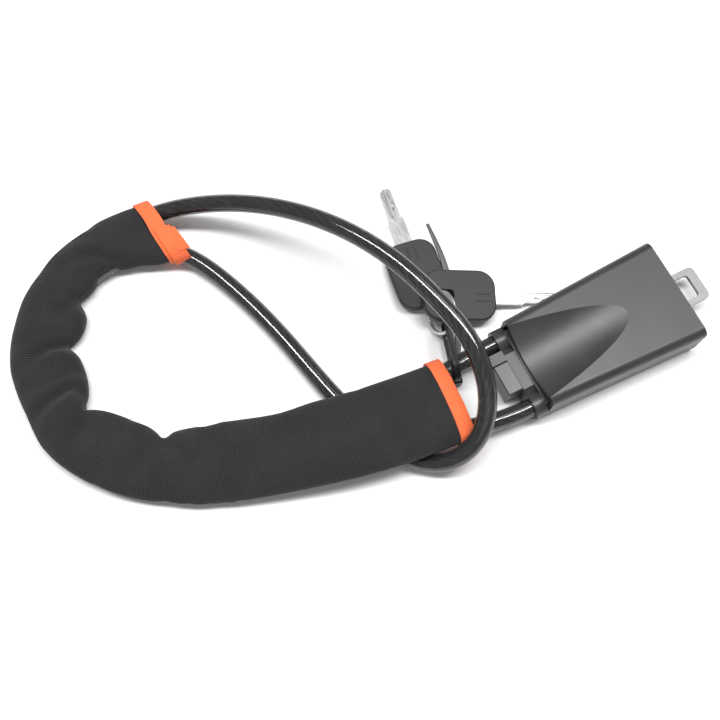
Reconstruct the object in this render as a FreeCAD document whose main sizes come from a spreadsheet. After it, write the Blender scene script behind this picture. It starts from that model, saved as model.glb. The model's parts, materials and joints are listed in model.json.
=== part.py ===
"""Steering-wheel cable lock that clips into a seat-belt buckle.

A lock head carries a belt tongue under a sliding shell.  One steel cable leaves the head from two
bosses, runs through a padded fabric sleeve and makes a free loop for the steering wheel.  Two keys
hang from the cable on a split ring and a cable tie.

Millimetres.  +X runs from the cable end of the head to the tongue, +Z is up and z = 0 is the surface
that the lock lies on.  The origin is the middle of the head's footprint, keys and cable left out.
"""

import FreeCAD, Part
import Sketcher
import math
import os

from FreeCAD import Placement, Rotation, Vector

os.makedirs("parts", exist_ok=True)
doc = FreeCAD.newDocument("belt_buckle_cable_lock")

# ---------------------------------------------------------------- driving dimensions

DIMENSIONS = {
    # shell that slides over the belt buckle
    "shell_rear": -44.75,
    "shell_length": 93.0,
    "shell_rear_width": 53.0,
    "shell_front_width": 61.0,
    "shell_height": 28.0,
    "shell_corner": 5.0,
    "wall": 2.5,
    "scoop_radius": 38.0,
    "scoop_depth": 7.0,
    "scoop_run": 58.6,
    "shell_stroke": 20.0,
    "rib_length": 38.0,
    "rib_height": 11.0,
    # casting that holds the lock cylinder, the cable ends and the tongue
    "block_front": 33.0,
    "block_width": 46.0,
    "block_low": 3.0,
    "block_top": 18.2,
    "flange_rear": -52.0,
    "flange_length": 6.8,
    "nose_length": 8.6,
    "nose_side": 13.8,
    "web_top": 17.6,
    "boss_radius": 6.9,
    "cable_spacing": 40.0,
    "lock_side": -1.3,
    "axis_height": 11.5,
    # lock cylinder, cam and bolt
    "barrel_radius": 5.7,
    "barrel_length": 37.8,
    "plug_radius": 4.75,
    "running_gap": 0.05,
    "keyway_width": 7.0,
    "keyway_thick": 2.4,
    "cam_radius": 5.6,
    "cam_thick": 2.6,
    "cam_throw": 3.1,
    "cam_pin_radius": 1.5,
    "bolt_thick": 4.6,
    "bolt_height": 6.0,
    # belt tongue
    "tongue_width": 20.5,
    "tongue_thick": 2.5,
    "tongue_root": 8.0,
    "tongue_tip": 69.3,
    "tongue_window_width": 13.5,
    "tongue_window_length": 12.2,
    "tongue_tip_strip": 5.2,
    "tongue_corner": 3.2,
    "window_corner": 2.0,
    # screws, rivets and stop pin
    "fastener_hole_radius": 1.5,
    "fastener_low": 5.0,
    "fastener_head_low": 16.4,
    "fastener_head_height": 1.5,
    "screw_head_radius": 2.8,
    "rivet_head_radius": 3.4,
    "shank_radius": 1.45,
    "socket_radius": 1.4,
    "socket_depth": 0.9,
    "cam_screw_radius": 1.2,
    # dust cap over the keyhole
    "cap_width": 17.6,
    "cap_recess_radius": 5.2,
    "cap_length": 8.4,
    # cable and sleeve
    "cable_radius": 5.0,
    "rope_radius": 3.5,
    "ferrule_radius": 5.5,
    "sleeve_half_width": 22.5,
    "sleeve_end_half_width": 19.5,
    "sleeve_half_height": 8.0,
    "sleeve_fabric": 1.2,
    "binding_length": 8.0,
    "binding_thick": 0.9,
    # keys, ring and tie
    "bow_length": 38.6,
    "bow_width": 28.0,
    "bow_thick": 5.0,
    "bow_corner": 9.0,
    "blade_length": 34.0,
    "blade_root_width": 9.0,
    "blade_tip_width": 6.6,
    "blade_thick": 2.2,
    "blade_step": 16.0,
    "blade_in_bow": 9.0,
    "ring_hole_length": 12.0,
    "ring_hole_width": 5.2,
    "ring_hole_margin": 2.5,
    "ring_radius": 11.55,
    "ring_wire_radius": 1.1,
    "tie_width": 3.4,
    "tie_thick": 1.3,
}

sheet = doc.addObject("Spreadsheet::Sheet", "Sizes")
for row, (alias, value) in enumerate(DIMENSIONS.items(), start=1):
    sheet.set(f"A{row}", alias)
    sheet.set(f"B{row}", str(value))
    sheet.setAlias(f"B{row}", alias)
doc.recompute()

SUBPARTS = []


def size(alias):
    """The value of one cell of the sheet."""
    return float(sheet.get(alias))


def cell(alias):
    """The expression that reads one cell of the sheet."""
    return f"Sizes.{alias}"


def keep(item, label):
    """Names an object as a sub-part, so that it is checked and exported."""
    item.Label = label
    SUBPARTS.append(item)
    return item


def bind(item, **expressions):
    """Binds properties to expressions, and returns the object."""
    for prop, expression in expressions.items():
        item.setExpression(prop, expression)
    return item


# ---------------------------------------------------------------- sketch and body helpers


def new_body(name):
    return doc.addObject("PartDesign::Body", name)


def new_sketch(body, name, role, offset=0.0):
    """A sketch on one of the body's origin planes, moved along the plane's normal."""
    plane = next(f for f in body.Origin.OriginFeatures if f.Role == role)
    sketch = body.newObject("Sketcher::SketchObject", name)
    sketch.AttachmentSupport = [(plane, "")]
    sketch.MapMode = "FlatFace"
    sketch.AttachmentOffset = Placement(Vector(0, 0, 0), Rotation())
    if isinstance(offset, str):
        sketch.setExpression(".AttachmentOffset.Base.z", offset)
    else:
        sketch.AttachmentOffset = Placement(Vector(0, 0, offset), Rotation())
    return sketch


def add_rectangle(sketch, left, low, width, height):
    """A rectangle with its low left corner placed; each size is a number or an expression."""
    first = sketch.GeometryCount
    corners = [Vector(0, 0, 0), Vector(1, 0, 0), Vector(1, 1, 0), Vector(0, 1, 0)]
    for k in range(4):
        sketch.addGeometry(Part.LineSegment(corners[k], corners[(k + 1) % 4]), False)
    for k in range(4):
        sketch.addConstraint(Sketcher.Constraint("Coincident", first + k, 2, first + (k + 1) % 4, 1))
    for k in (0, 2):
        sketch.addConstraint(Sketcher.Constraint("Horizontal", first + k))
        sketch.addConstraint(Sketcher.Constraint("Vertical", first + k + 1))
    driven = [
        Sketcher.Constraint("DistanceX", first, 1, first, 2, 1.0),
        Sketcher.Constraint("DistanceY", first + 1, 1, first + 1, 2, 1.0),
        Sketcher.Constraint("DistanceX", -1, 1, first, 1, 1.0),
        Sketcher.Constraint("DistanceY", -1, 1, first, 1, 1.0),
    ]
    for constraint, value in zip(driven, (width, height, left, low)):
        index = sketch.addConstraint(constraint)
        if isinstance(value, str):
            sketch.setExpression(f"Constraints[{index}]", value)
        else:
            sketch.setDatum(index, FreeCAD.Units.Quantity(value, FreeCAD.Units.Length))


def add_circle(sketch, across, up, radius):
    """A circle; its centre is in numbers and its radius is a number or an expression."""
    value = radius if not isinstance(radius, str) else 1.0
    index = sketch.addGeometry(Part.Circle(Vector(across, up, 0), Vector(0, 0, 1), value), False)
    radius_at = sketch.addConstraint(Sketcher.Constraint("Radius", index, value))
    sketch.addConstraint(Sketcher.Constraint("DistanceX", -1, 1, index, 3, across))
    sketch.addConstraint(Sketcher.Constraint("DistanceY", -1, 1, index, 3, up))
    if isinstance(radius, str):
        sketch.setExpression(f"Constraints[{radius_at}]", radius)


def add_outline(sketch, points):
    """A closed outline of straight lines through the points."""
    first = sketch.GeometryCount
    count = len(points)
    for k in range(count):
        ends = [Vector(*points[k], 0), Vector(*points[(k + 1) % count], 0)]
        sketch.addGeometry(Part.LineSegment(*ends), False)
    for k in range(count):
        pair = (first + k, 2, first + (k + 1) % count, 1)
        sketch.addConstraint(Sketcher.Constraint("Coincident", *pair))
    for k in range(count):
        sketch.addConstraint(Sketcher.Constraint("Block", first + k))


def volume_of(body):
    doc.recompute()
    return body.Shape.Volume if not body.Shape.isNull() else 0.0


def pad(body, sketch, length, backwards=False):
    """Adds material along the sketch's normal, and checks that the body grew."""
    before = volume_of(body)
    feature = body.newObject("PartDesign::Pad", f"{sketch.Name}_pad")
    feature.Profile = sketch
    feature.Reversed = backwards
    if isinstance(length, str):
        feature.setExpression("Length", length)
    else:
        feature.Length = length
    if volume_of(body) <= before:
        raise RuntimeError(f"{feature.Name} added nothing")
    return feature


def pocket(body, sketch, length, backwards=False):
    """Cuts against the sketch's normal, or along it if backwards, and checks that it cut."""
    before = volume_of(body)
    feature = body.newObject("PartDesign::Pocket", f"{sketch.Name}_pocket")
    feature.Profile = sketch
    feature.Reversed = backwards
    if isinstance(length, str):
        feature.setExpression("Length", length)
    else:
        feature.Length = length
    if volume_of(body) >= before:
        raise RuntimeError(f"{feature.Name} cut nothing")
    return feature


def round_edges(body, radius, chosen):
    """Fillets the edges of the body's tip that the test picks out."""
    doc.recompute()
    tip = body.Tip
    edges = [f"Edge{k}" for k, e in enumerate(tip.Shape.Edges, start=1) if chosen(e)]
    if not edges:
        raise RuntimeError(f"{body.Name}: no edge to round")
    feature = body.newObject("PartDesign::Fillet", f"{body.Name}_round")
    feature.Base = (tip, edges)
    feature.Radius = radius
    doc.recompute()
    return feature


def is_along(edge, direction):
    """Whether a straight edge runs along a direction."""
    if edge.Curve.TypeId != "Part::GeomLine":
        return False
    return abs(edge.tangentAt(edge.FirstParameter).dot(direction)) > 0.999


X, Y, Z = Vector(1, 0, 0), Vector(0, 1, 0), Vector(0, 0, 1)
ALONG = {"X": Rotation(Y, 90), "Y": Rotation(X, -90), "Z": Rotation()}


def cylinder(name, start, radius, length, axis):
    """A Part cylinder from a start point along a row axis, its sizes bound to the sheet."""
    item = doc.addObject("Part::Cylinder", name)
    for prop, value in (("Radius", radius), ("Height", length)):
        if isinstance(value, str):
            item.setExpression(prop, value)
        else:
            setattr(item, prop, value)
    item.Placement = Placement(Vector(*start), ALONG[axis])
    return item


def box(name, corner, lengths):
    """A Part box from its low corner."""
    item = doc.addObject("Part::Box", name)
    item.Length, item.Width, item.Height = lengths
    item.Placement = Placement(Vector(*corner), Rotation())
    return item


def cut(name, base, tool):
    item = doc.addObject("Part::Cut", name)
    item.Base = base
    item.Tool = tool
    return item


def fuse(name, *shapes):
    item = doc.addObject("Part::MultiFuse", name)
    item.Shapes = list(shapes)
    return item


def common(name, base, tool):
    item = doc.addObject("Part::Common", name)
    item.Base = base
    item.Tool = tool
    return item


def made_shape(name, shape):
    """A Part::Feature that holds a shape made in code."""
    item = doc.addObject("Part::Feature", name)
    item.Shape = shape
    return item


# ---------------------------------------------------------------- lock casting

LOCK_Y = size("lock_side")
AXIS_Z = size("axis_height")
FLANGE_X = size("flange_rear")
BLOCK_X = FLANGE_X + size("flange_length")
CABLE_Y = size("cable_spacing") / 2
BARREL_END_X = FLANGE_X + size("barrel_length") + 0.2
CHAMBER_END_X = -4.4
BOLT_X = -9.6
FERRULE_X = -48.4
FERRULE_LENGTH = 3.1
SHEATH_DEPTH = FERRULE_X - FLANGE_X
PRONG_OFFSET = 8.0
STOP_PIN_X = -8.0
SCREW_PLACES = [(-38.0, 13.5), (-38.0, -14.5), (4.0, 17.0), (4.0, -17.0)]
RIVET_PLACES = [(14.0, 0.0), (26.0, 0.0)]
HEAD_GAP = 0.2
THROUGH = 40.0
GLIDE_Y = 18.0
GLIDE_SIZES = (68.0, 4.0, 0.4)


def make_casting():
    """The block, flange, bosses and nose with their cavities, before it is split in two halves."""
    body = new_body("casting")
    sketch = new_sketch(body, "guide_block", "XY_Plane", cell("block_low"))
    overlap = 0.5
    block_length = overlap + size("block_front") - BLOCK_X
    add_rectangle(sketch, BLOCK_X - overlap, "-Sizes.block_width / 2", block_length, cell("block_width"))
    pad(body, sketch, "Sizes.block_top - Sizes.block_low")

    sketch = new_sketch(body, "flange", "YZ_Plane", cell("flange_rear"))
    side, shoulder, valley, web = CABLE_Y + 4.5, 13.8, 15.2, 10.6
    add_outline(
        sketch,
        [
            (-side, 1.2),
            (side, 1.2),
            (side, AXIS_Z),
            (valley, shoulder),
            (web, size("web_top")),
            (-web, size("web_top")),
            (-valley, shoulder),
            (-side, AXIS_Z),
        ],
    )
    pad(body, sketch, cell("flange_length"))
    for name, y in (("boss_upper", CABLE_Y), ("boss_lower", -CABLE_Y)):
        sketch = new_sketch(body, name, "YZ_Plane", cell("flange_rear"))
        add_circle(sketch, y, AXIS_Z, cell("boss_radius"))
        pad(body, sketch, cell("flange_length"))

    nose_low = LOCK_Y + size("cap_width") / 2 + 0.3
    sketch = new_sketch(body, "nose", "YZ_Plane", "Sizes.flange_rear - Sizes.nose_length")
    add_rectangle(sketch, nose_low, 3.0, size("nose_side") - nose_low, size("web_top") - 3.0)
    pad(body, sketch, cell("nose_length"))

    for name, y in (("sheath_upper", CABLE_Y), ("sheath_lower", -CABLE_Y)):
        sketch = new_sketch(body, name, "YZ_Plane", cell("flange_rear"))
        add_circle(sketch, y, AXIS_Z, cell("cable_radius"))
        pocket(body, sketch, SHEATH_DEPTH, backwards=True)
        sketch = new_sketch(body, f"{name}_ferrule", "YZ_Plane", FERRULE_X)
        add_circle(sketch, y, AXIS_Z, size("ferrule_radius") + 0.05)
        pocket(body, sketch, FERRULE_LENGTH + 0.1, backwards=True)

    sketch = new_sketch(body, "barrel_bore", "YZ_Plane", cell("flange_rear"))
    add_circle(sketch, LOCK_Y, AXIS_Z, cell("barrel_radius"))
    pocket(body, sketch, BARREL_END_X - FLANGE_X, backwards=True)
    sketch = new_sketch(body, "prong_holes", "YZ_Plane", cell("flange_rear"))
    for side in (-1, 1):
        add_circle(sketch, LOCK_Y + side * PRONG_OFFSET, AXIS_Z, 1.0)
    pocket(body, sketch, 3.6, backwards=True)

    sketch = new_sketch(body, "cam_chamber", "XY_Plane", 5.4)
    add_rectangle(sketch, BARREL_END_X, LOCK_Y - 7.8, CHAMBER_END_X - BARREL_END_X, 14.0)
    pocket(body, sketch, 12.0, backwards=True)
    sketch = new_sketch(body, "bolt_channel", "XY_Plane", AXIS_Z - size("bolt_height") / 2 - 0.2)
    channel_length, channel_width = size("bolt_thick") + 0.6, size("block_width") / 2 - 6
    add_rectangle(sketch, BOLT_X - 0.3, "-Sizes.block_width / 2 - 1", channel_length, channel_width)
    pocket(body, sketch, size("bolt_height") + 0.4, backwards=True)

    sketch = new_sketch(body, "tongue_slot", "XY_Plane", AXIS_Z - size("tongue_thick") / 2)
    add_rectangle(
        sketch,
        cell("tongue_root"),
        "-Sizes.tongue_width / 2",
        "Sizes.block_front - Sizes.tongue_root + 5",
        cell("tongue_width"),
    )
    pocket(body, sketch, cell("tongue_thick"), backwards=True)

    for name, places, head in (
        ("screw_holes", SCREW_PLACES, size("screw_head_radius") + HEAD_GAP),
        ("rivet_holes", RIVET_PLACES, size("rivet_head_radius") + HEAD_GAP),
    ):
        sketch = new_sketch(body, name, "XY_Plane", cell("fastener_low"))
        for x, y in places:
            add_circle(sketch, x, y, cell("fastener_hole_radius"))
        pocket(body, sketch, THROUGH, backwards=True)
        sketch = new_sketch(body, f"{name}_heads", "XY_Plane", cell("fastener_head_low"))
        for x, y in places:
            add_circle(sketch, x, y, head)
        pocket(body, sketch, THROUGH, backwards=True)

    sketch = new_sketch(body, "stop_pin_hole", "XZ_Plane", 0.0)
    add_circle(sketch, STOP_PIN_X, AXIS_Z, cell("fastener_hole_radius"))
    pocket(body, sketch, THROUGH)
    return body


casting = make_casting()
lower_space = box("lower_space", (-80, -40, -5), (150, 80, AXIS_Z + 5))
upper_space = box("upper_space", (-80, -40, AXIS_Z), (150, 80, 20))
keep(common("body_lower_half", casting, lower_space), "body_lower")
keep(common("body_upper_half", casting, upper_space), "body_upper")

for k, (x, y) in enumerate(SCREW_PLACES + RIVET_PLACES, start=1):
    is_screw = k <= len(SCREW_PLACES)
    label = f"body_screw_{k}" if is_screw else f"tongue_rivet_{k - len(SCREW_PLACES)}"
    head_radius = cell("screw_head_radius" if is_screw else "rivet_head_radius")
    shank_low = size("fastener_low") + 0.2
    shank_length = size("fastener_head_low") - shank_low
    shank = cylinder(f"{label}_shank", (x, y, shank_low), cell("shank_radius"), shank_length, "Z")
    head_place = (x, y, size("fastener_head_low"))
    head = cylinder(f"{label}_head", head_place, head_radius, cell("fastener_head_height"), "Z")
    whole = fuse(f"{label}_whole", shank, head)
    if is_screw:
        socket_low = size("fastener_head_low") + size("fastener_head_height") - size("socket_depth")
        socket = doc.addObject("Part::Prism", f"{label}_socket")
        socket.Polygon = 6
        bind(socket, Circumradius=cell("socket_radius"), Height="Sizes.socket_depth + 1")
        socket.Placement = Placement(Vector(x, y, socket_low), Rotation())
        whole = cut(f"{label}_driven", whole, socket)
    keep(whole, label)

stop_pin = cylinder("stop_pin_rod", (STOP_PIN_X, 12.0, AXIS_Z), cell("fastener_hole_radius"), 12.6, "Y")
keep(stop_pin, "stop_pin")

for k, side in enumerate((-1, 1), start=1):
    corner = (-40.0, side * GLIDE_Y - GLIDE_SIZES[1] / 2, size("block_low") - GLIDE_SIZES[2])
    strip = box(f"glide_strip_box_{k}", corner, GLIDE_SIZES)
    keep(strip, f"glide_strip_{k}")


# ---------------------------------------------------------------- belt tongue


def make_tongue():
    """A flat steel plate with rounded tip corners and the window that the buckle's latch enters."""
    body = new_body("tongue_plate")
    low = AXIS_Z - size("tongue_thick") / 2
    sketch = new_sketch(body, "tongue_outline", "XY_Plane", low)
    root = size("tongue_root")
    length = size("tongue_tip") - root
    add_rectangle(sketch, cell("tongue_root"), "-Sizes.tongue_width / 2", length, cell("tongue_width"))
    pad(body, sketch, cell("tongue_thick"))
    round_edges(body, size("tongue_corner"), lambda e: is_along(e, Z) and e.CenterOfMass.x > root + 1)
    sketch = new_sketch(body, "tongue_window", "XY_Plane", low)
    window_end = size("tongue_tip") - size("tongue_tip_strip")
    add_rectangle(
        sketch,
        window_end - size("tongue_window_length"),
        "-Sizes.tongue_window_width / 2",
        cell("tongue_window_length"),
        cell("tongue_window_width"),
    )
    for x, y in RIVET_PLACES:
        add_circle(sketch, x, y, 1.5)
    pocket(body, sketch, cell("tongue_thick"), backwards=True)
    window_start = window_end - size("tongue_window_length")

    def is_window_corner(edge):
        return is_along(edge, Z) and window_start - 1 < edge.CenterOfMass.x < window_end + 1

    round_edges(body, size("window_corner"), is_window_corner)
    return body


keep(make_tongue(), "tongue")


# ---------------------------------------------------------------- lock cylinder and bolt


def make_barrel():
    body = new_body("barrel")
    sketch = new_sketch(body, "barrel_ring", "YZ_Plane", FLANGE_X + 0.2)
    add_circle(sketch, LOCK_Y, AXIS_Z, cell("barrel_radius"))
    add_circle(sketch, LOCK_Y, AXIS_Z, "Sizes.plug_radius + Sizes.running_gap")
    pad(body, sketch, cell("barrel_length"))
    return body


def make_plug():
    """The turning core, with its keyway and the blind hole for the cam screw."""
    body = new_body("plug")
    length = size("barrel_length") + 1.0
    sketch = new_sketch(body, "plug_round", "YZ_Plane", FLANGE_X + 0.2)
    add_circle(sketch, LOCK_Y, AXIS_Z, cell("plug_radius"))
    pad(body, sketch, length)
    sketch = new_sketch(body, "keyway", "YZ_Plane", FLANGE_X + 0.2)
    add_rectangle(
        sketch,
        LOCK_Y - size("keyway_thick") / 2,
        AXIS_Z - size("keyway_width") / 2,
        cell("keyway_thick"),
        cell("keyway_width"),
    )
    pocket(body, sketch, 26.0, backwards=True)
    sketch = new_sketch(body, "cam_screw_hole", "YZ_Plane", FLANGE_X + 0.2 + length)
    add_circle(sketch, LOCK_Y, AXIS_Z, cell("cam_screw_radius"))
    pocket(body, sketch, 6.0)
    return body


PLUG_END_X = FLANGE_X + 0.2 + size("barrel_length") + 1.0
CAM_END_X = PLUG_END_X + size("cam_thick")
CAM_SCREW_DEPTH = 4.5


def make_cam():
    """A disc on the plug's end whose pin works the fork of the bolt."""
    body = new_body("cam_disc")
    sketch = new_sketch(body, "cam_round", "YZ_Plane", PLUG_END_X)
    add_circle(sketch, LOCK_Y, AXIS_Z, cell("cam_radius"))
    add_circle(sketch, LOCK_Y, AXIS_Z, cell("cam_screw_radius"))
    pad(body, sketch, cell("cam_thick"))
    sketch = new_sketch(body, "cam_pin", "YZ_Plane", PLUG_END_X + 1.0)
    add_circle(sketch, LOCK_Y, AXIS_Z + size("cam_throw"), cell("cam_pin_radius"))
    pad(body, sketch, BOLT_X + size("bolt_thick") - PLUG_END_X - 1.2)
    return body


def make_bolt():
    """The fork that the cam pin moves, and the bar that locks into the shell's rib."""
    body = new_body("bolt_bar")
    half = size("cam_pin_radius") + 0.21 * size("cam_throw") + 0.06
    low = AXIS_Z - size("bolt_height") / 2
    tip = -size("block_width") / 2 + 0.2
    sketch = new_sketch(body, "bolt_outline", "YZ_Plane", BOLT_X)
    left, right, top = LOCK_Y - half - 1.4, LOCK_Y + half + 1.4, 16.9
    slot_low = AXIS_Z - size("cam_pin_radius") - 0.3
    add_outline(
        sketch,
        [
            (tip, low),
            (right, low),
            (right, top),
            (LOCK_Y + half, top),
            (LOCK_Y + half, slot_low),
            (LOCK_Y - half, slot_low),
            (LOCK_Y - half, top),
            (left, top),
            (left, low + size("bolt_height")),
            (tip, low + size("bolt_height")),
        ],
    )
    pad(body, sketch, cell("bolt_thick"))
    return body


keep(make_barrel(), "lock_barrel")
keep(make_plug(), "lock_plug")
keep(make_cam(), "cam")
screw_start = (PLUG_END_X - CAM_SCREW_DEPTH, LOCK_Y, AXIS_Z)
screw_length = CAM_SCREW_DEPTH + size("cam_thick")
screw_shank = cylinder("cam_screw_shank", screw_start, cell("cam_screw_radius"), screw_length, "X")
screw_head = cylinder("cam_screw_head", (CAM_END_X, LOCK_Y, AXIS_Z), 1.5, 0.6, "X")
keep(fuse("cam_screw_whole", screw_shank, screw_head), "cam_screw")
keep(make_bolt(), "bolt")


# ---------------------------------------------------------------- dust cap


def make_dust_cap():
    """A soft block over the keyhole, held by two prongs in the flange."""
    body = new_body("cap")
    low = LOCK_Y - size("cap_width") / 2
    start = FLANGE_X - 0.2 - size("cap_length")
    sketch = new_sketch(body, "cap_block", "YZ_Plane", start)
    add_rectangle(sketch, low, 3.0, cell("cap_width"), "Sizes.web_top - 3")
    pad(body, sketch, cell("cap_length"))

    def is_outer_edge(edge):
        return is_along(edge, X) or edge.CenterOfMass.x < start + 0.1

    round_edges(body, 0.9, is_outer_edge)
    sketch = new_sketch(body, "cap_recess", "YZ_Plane", FLANGE_X - 0.2)
    add_circle(sketch, LOCK_Y, AXIS_Z, cell("cap_recess_radius"))
    pocket(body, sketch, 3.0)
    sketch = new_sketch(body, "cap_prongs", "YZ_Plane", FLANGE_X - 0.2)
    for side in (-1, 1):
        add_circle(sketch, LOCK_Y + side * PRONG_OFFSET, AXIS_Z, 0.8)
    pad(body, sketch, 3.2)
    return body


keep(make_dust_cap(), "dust_cap")


# ---------------------------------------------------------------- shell


def rounded_section(name, x, half_width, low, high, corner):
    """A closed wire in a plane across X: a rectangle with round corners."""
    diagonal = corner / math.sqrt(2)
    arcs = []
    for y_sign, z, z_sign in ((1, low, -1), (1, high, 1), (-1, high, 1), (-1, low, -1)):
        centre = Vector(x, y_sign * (half_width - corner), z - z_sign * corner)
        side = centre + Vector(0, y_sign * corner, 0)
        end = centre + Vector(0, 0, z_sign * corner)
        middle = centre + Vector(0, y_sign * diagonal, z_sign * diagonal)
        first, last = (end, side) if y_sign * z_sign < 0 else (side, end)
        arcs.append((first, middle, last))
    edges = []
    for k, (first, middle, last) in enumerate(arcs):
        edges.append(Part.Arc(first, middle, last).toShape())
        edges.append(Part.LineSegment(last, arcs[(k + 1) % 4][0]).toShape())
    return made_shape(name, Part.Wire(Part.__sortEdges__(edges)))


def loft(name, sections):
    item = doc.addObject("Part::Loft", name)
    item.Sections = sections
    item.Solid = True
    item.Ruled = True
    return item


SHELL_X = size("shell_rear")
SHELL_END = SHELL_X + size("shell_length")
WALL = size("wall")
RIB_REAR = STOP_PIN_X - size("shell_stroke") - 6.0
RIB_FACE_Y = size("block_width") / 2 + 0.5
UNDERSIDE_TRIM = 0.05


def shell_half_width(x):
    """Half the shell's outer width at a place along it."""
    share = (x - SHELL_X) / size("shell_length")
    return (size("shell_rear_width") * (1 - share) + size("shell_front_width") * share) / 2


def make_envelope(name, inset, corner, overrun, trim=0.0):
    """The tapered block of the shell's outside, or of its cavity when there is an inset.

    A trim takes the block that much below its flat underside, which is then cut plane.
    """
    sections = []
    for k, x in enumerate((SHELL_X - overrun, SHELL_END + overrun), start=1):
        half = shell_half_width(x) - inset
        low, high = inset - trim, size("shell_height") - inset
        sections.append(rounded_section(f"{name}_section_{k}", x, half, low, high, corner))
    return loft(name, sections)


def make_scoop(name, extra):
    """The tilted round bar that hollows the top; the extra radius makes the wall under it."""
    tilt = math.degrees(math.atan2(size("scoop_depth"), size("scoop_run")))
    radius = size("scoop_radius")
    reach = 120.0
    height = size("shell_height") - size("scoop_depth") + radius
    bar = doc.addObject("Part::Cylinder", name)
    bar.setExpression("Radius", f"Sizes.scoop_radius + {extra}")
    bar.Height = 2 * reach
    turn = Rotation(Y, 90 - tilt)
    start = Vector(SHELL_X, 0, height) - turn.multVec(Z) * reach
    bar.Placement = Placement(start, turn)
    return bar


form = make_envelope("shell_form", 0.0, size("shell_corner"), 0.0, UNDERSIDE_TRIM)
room = box(
    "shell_room",
    (SHELL_X - 1.0, -size("shell_front_width"), 0.0),
    (size("shell_length") + 2.0, 2 * size("shell_front_width"), size("shell_height") + 1.0),
)
outside = common("shell_outside", form, room)
cavity = make_envelope("shell_cavity", WALL, size("shell_corner") - WALL, 5.0)
scooped_outside = cut("shell_scooped", outside, make_scoop("scoop_bar", 0.0))
scooped_cavity = cut("cavity_scooped", cavity, make_scoop("scoop_bar_wall", WALL))


def make_rib(name, side, gaps):
    """A rib inside one side wall, with gaps for the bolt or the stop pin."""
    low = AXIS_Z - size("rib_height") / 2
    outer = shell_half_width(RIB_REAR) - 1.0
    reach = outer - RIB_FACE_Y
    corner_y = RIB_FACE_Y if side > 0 else -outer
    rib = box(f"{name}_bar", (RIB_REAR, corner_y, low), (size("rib_length"), reach, size("rib_height")))
    wedge_reach = shell_half_width(RIB_REAR + size("rib_length")) - 1.0 - outer
    wedge_y = outer - 0.01 if side > 0 else -outer - wedge_reach
    backing = box(
        f"{name}_backing",
        (RIB_REAR, wedge_y, low),
        (size("rib_length"), wedge_reach + 0.01, size("rib_height")),
    )
    whole = common(f"{name}_in_shell", fuse(f"{name}_whole", rib, backing), outside)
    openings = []
    for k, (start, end, height) in enumerate(gaps, start=1):
        gap_y = RIB_FACE_Y - 1.0 if side > 0 else -outer - 0.2
        openings.append(
            box(
                f"{name}_gap_{k}",
                (start, gap_y, AXIS_Z - height / 2),
                (end - start, outer + 0.2 - RIB_FACE_Y + 1.0, height),
            )
        )
    return whole, openings


BOLT_MIDDLE_X = BOLT_X + size("bolt_thick") / 2
NOTCH = size("bolt_thick") / 2 + 0.4
STROKE = size("shell_stroke")
notches = [
    (BOLT_MIDDLE_X - STROKE - NOTCH, BOLT_MIDDLE_X - STROKE + NOTCH, size("bolt_height") + 0.8),
    (BOLT_MIDDLE_X - NOTCH, BOLT_MIDDLE_X + NOTCH, size("bolt_height") + 0.8),
]
pin_slot = [(STOP_PIN_X - STROKE - 1.7, STOP_PIN_X + 1.7, 3.6)]
left_rib, left_gaps = make_rib("bolt_rib", -1, notches)
right_rib, right_gaps = make_rib("pin_rib", 1, pin_slot)
hollow = cut("shell_hollow", scooped_outside, scooped_cavity)
ribbed = fuse("shell_ribbed", hollow, left_rib, right_rib)
ribbed.Refine = True
shell = cut("shell_whole", ribbed, fuse("shell_gaps", *left_gaps, *right_gaps))
keep(shell, "shell")


# ---------------------------------------------------------------- cable

# Points of the cable's route, from the upper boss through the sleeve, round the free loop that
# crosses over the head's strands, back through the sleeve and into the lower boss.
CABLE_ROUTE = [
    (-48.4, 20.0, 11.5),
    (-66.0, 20.0, 11.5),
    (-86.0, 16.7, 14.3),
    (-110.5, 16.0, 18.2),
    (-137.5, 19.0, 19.3),
    (-169.0, 27.0, 15.0),
    (-198.5, 35.5, 10.5),
    (-226.0, 45.0, 8.5),
    (-248.5, 59.0, 8.3),
    (-264.5, 79.5, 8.3),
    (-270.5, 103.0, 8.3),
    (-265.5, 126.5, 8.3),
    (-250.5, 147.0, 8.3),
    (-230.0, 159.0, 8.6),
    (-208.5, 161.5, 9.2),
    (-190.0, 156.5, 8.8),
    (-177.0, 143.5, 7.0),
    (-167.5, 124.5, 5.2),
    (-158.5, 100.0, 5.0),
    (-151.5, 74.0, 5.0),
    (-146.0, 48.0, 5.0),
    (-139.0, 22.0, 5.0),
    (-131.0, -1.0, 5.0),
    (-118.5, -20.0, 6.0),
    (-101.5, -29.0, 14.5),
    (-84.0, -23.5, 28.0),
    (-73.5, -6.0, 41.0),
    (-70.5, 19.0, 48.0),
    (-77.0, 47.0, 50.5),
    (-87.0, 79.5, 50.5),
    (-105.5, 112.0, 47.0),
    (-129.5, 141.0, 37.0),
    (-155.0, 162.5, 24.0),
    (-180.0, 176.0, 13.5),
    (-207.0, 179.5, 9.6),
    (-234.5, 174.5, 8.5),
    (-261.5, 159.0, 8.3),
    (-280.5, 133.5, 8.3),
    (-287.0, 103.0, 8.3),
    (-279.5, 72.5, 8.3),
    (-259.5, 47.0, 8.3),
    (-234.0, 29.0, 8.5),
    (-205.5, 16.5, 10.5),
    (-175.0, 6.0, 15.0),
    (-142.5, -4.0, 19.3),
    (-113.5, -11.0, 18.2),
    (-88.0, -15.0, 14.3),
    (-66.0, -20.0, 11.5),
    (-48.4, -20.0, 11.5),
]

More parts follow.
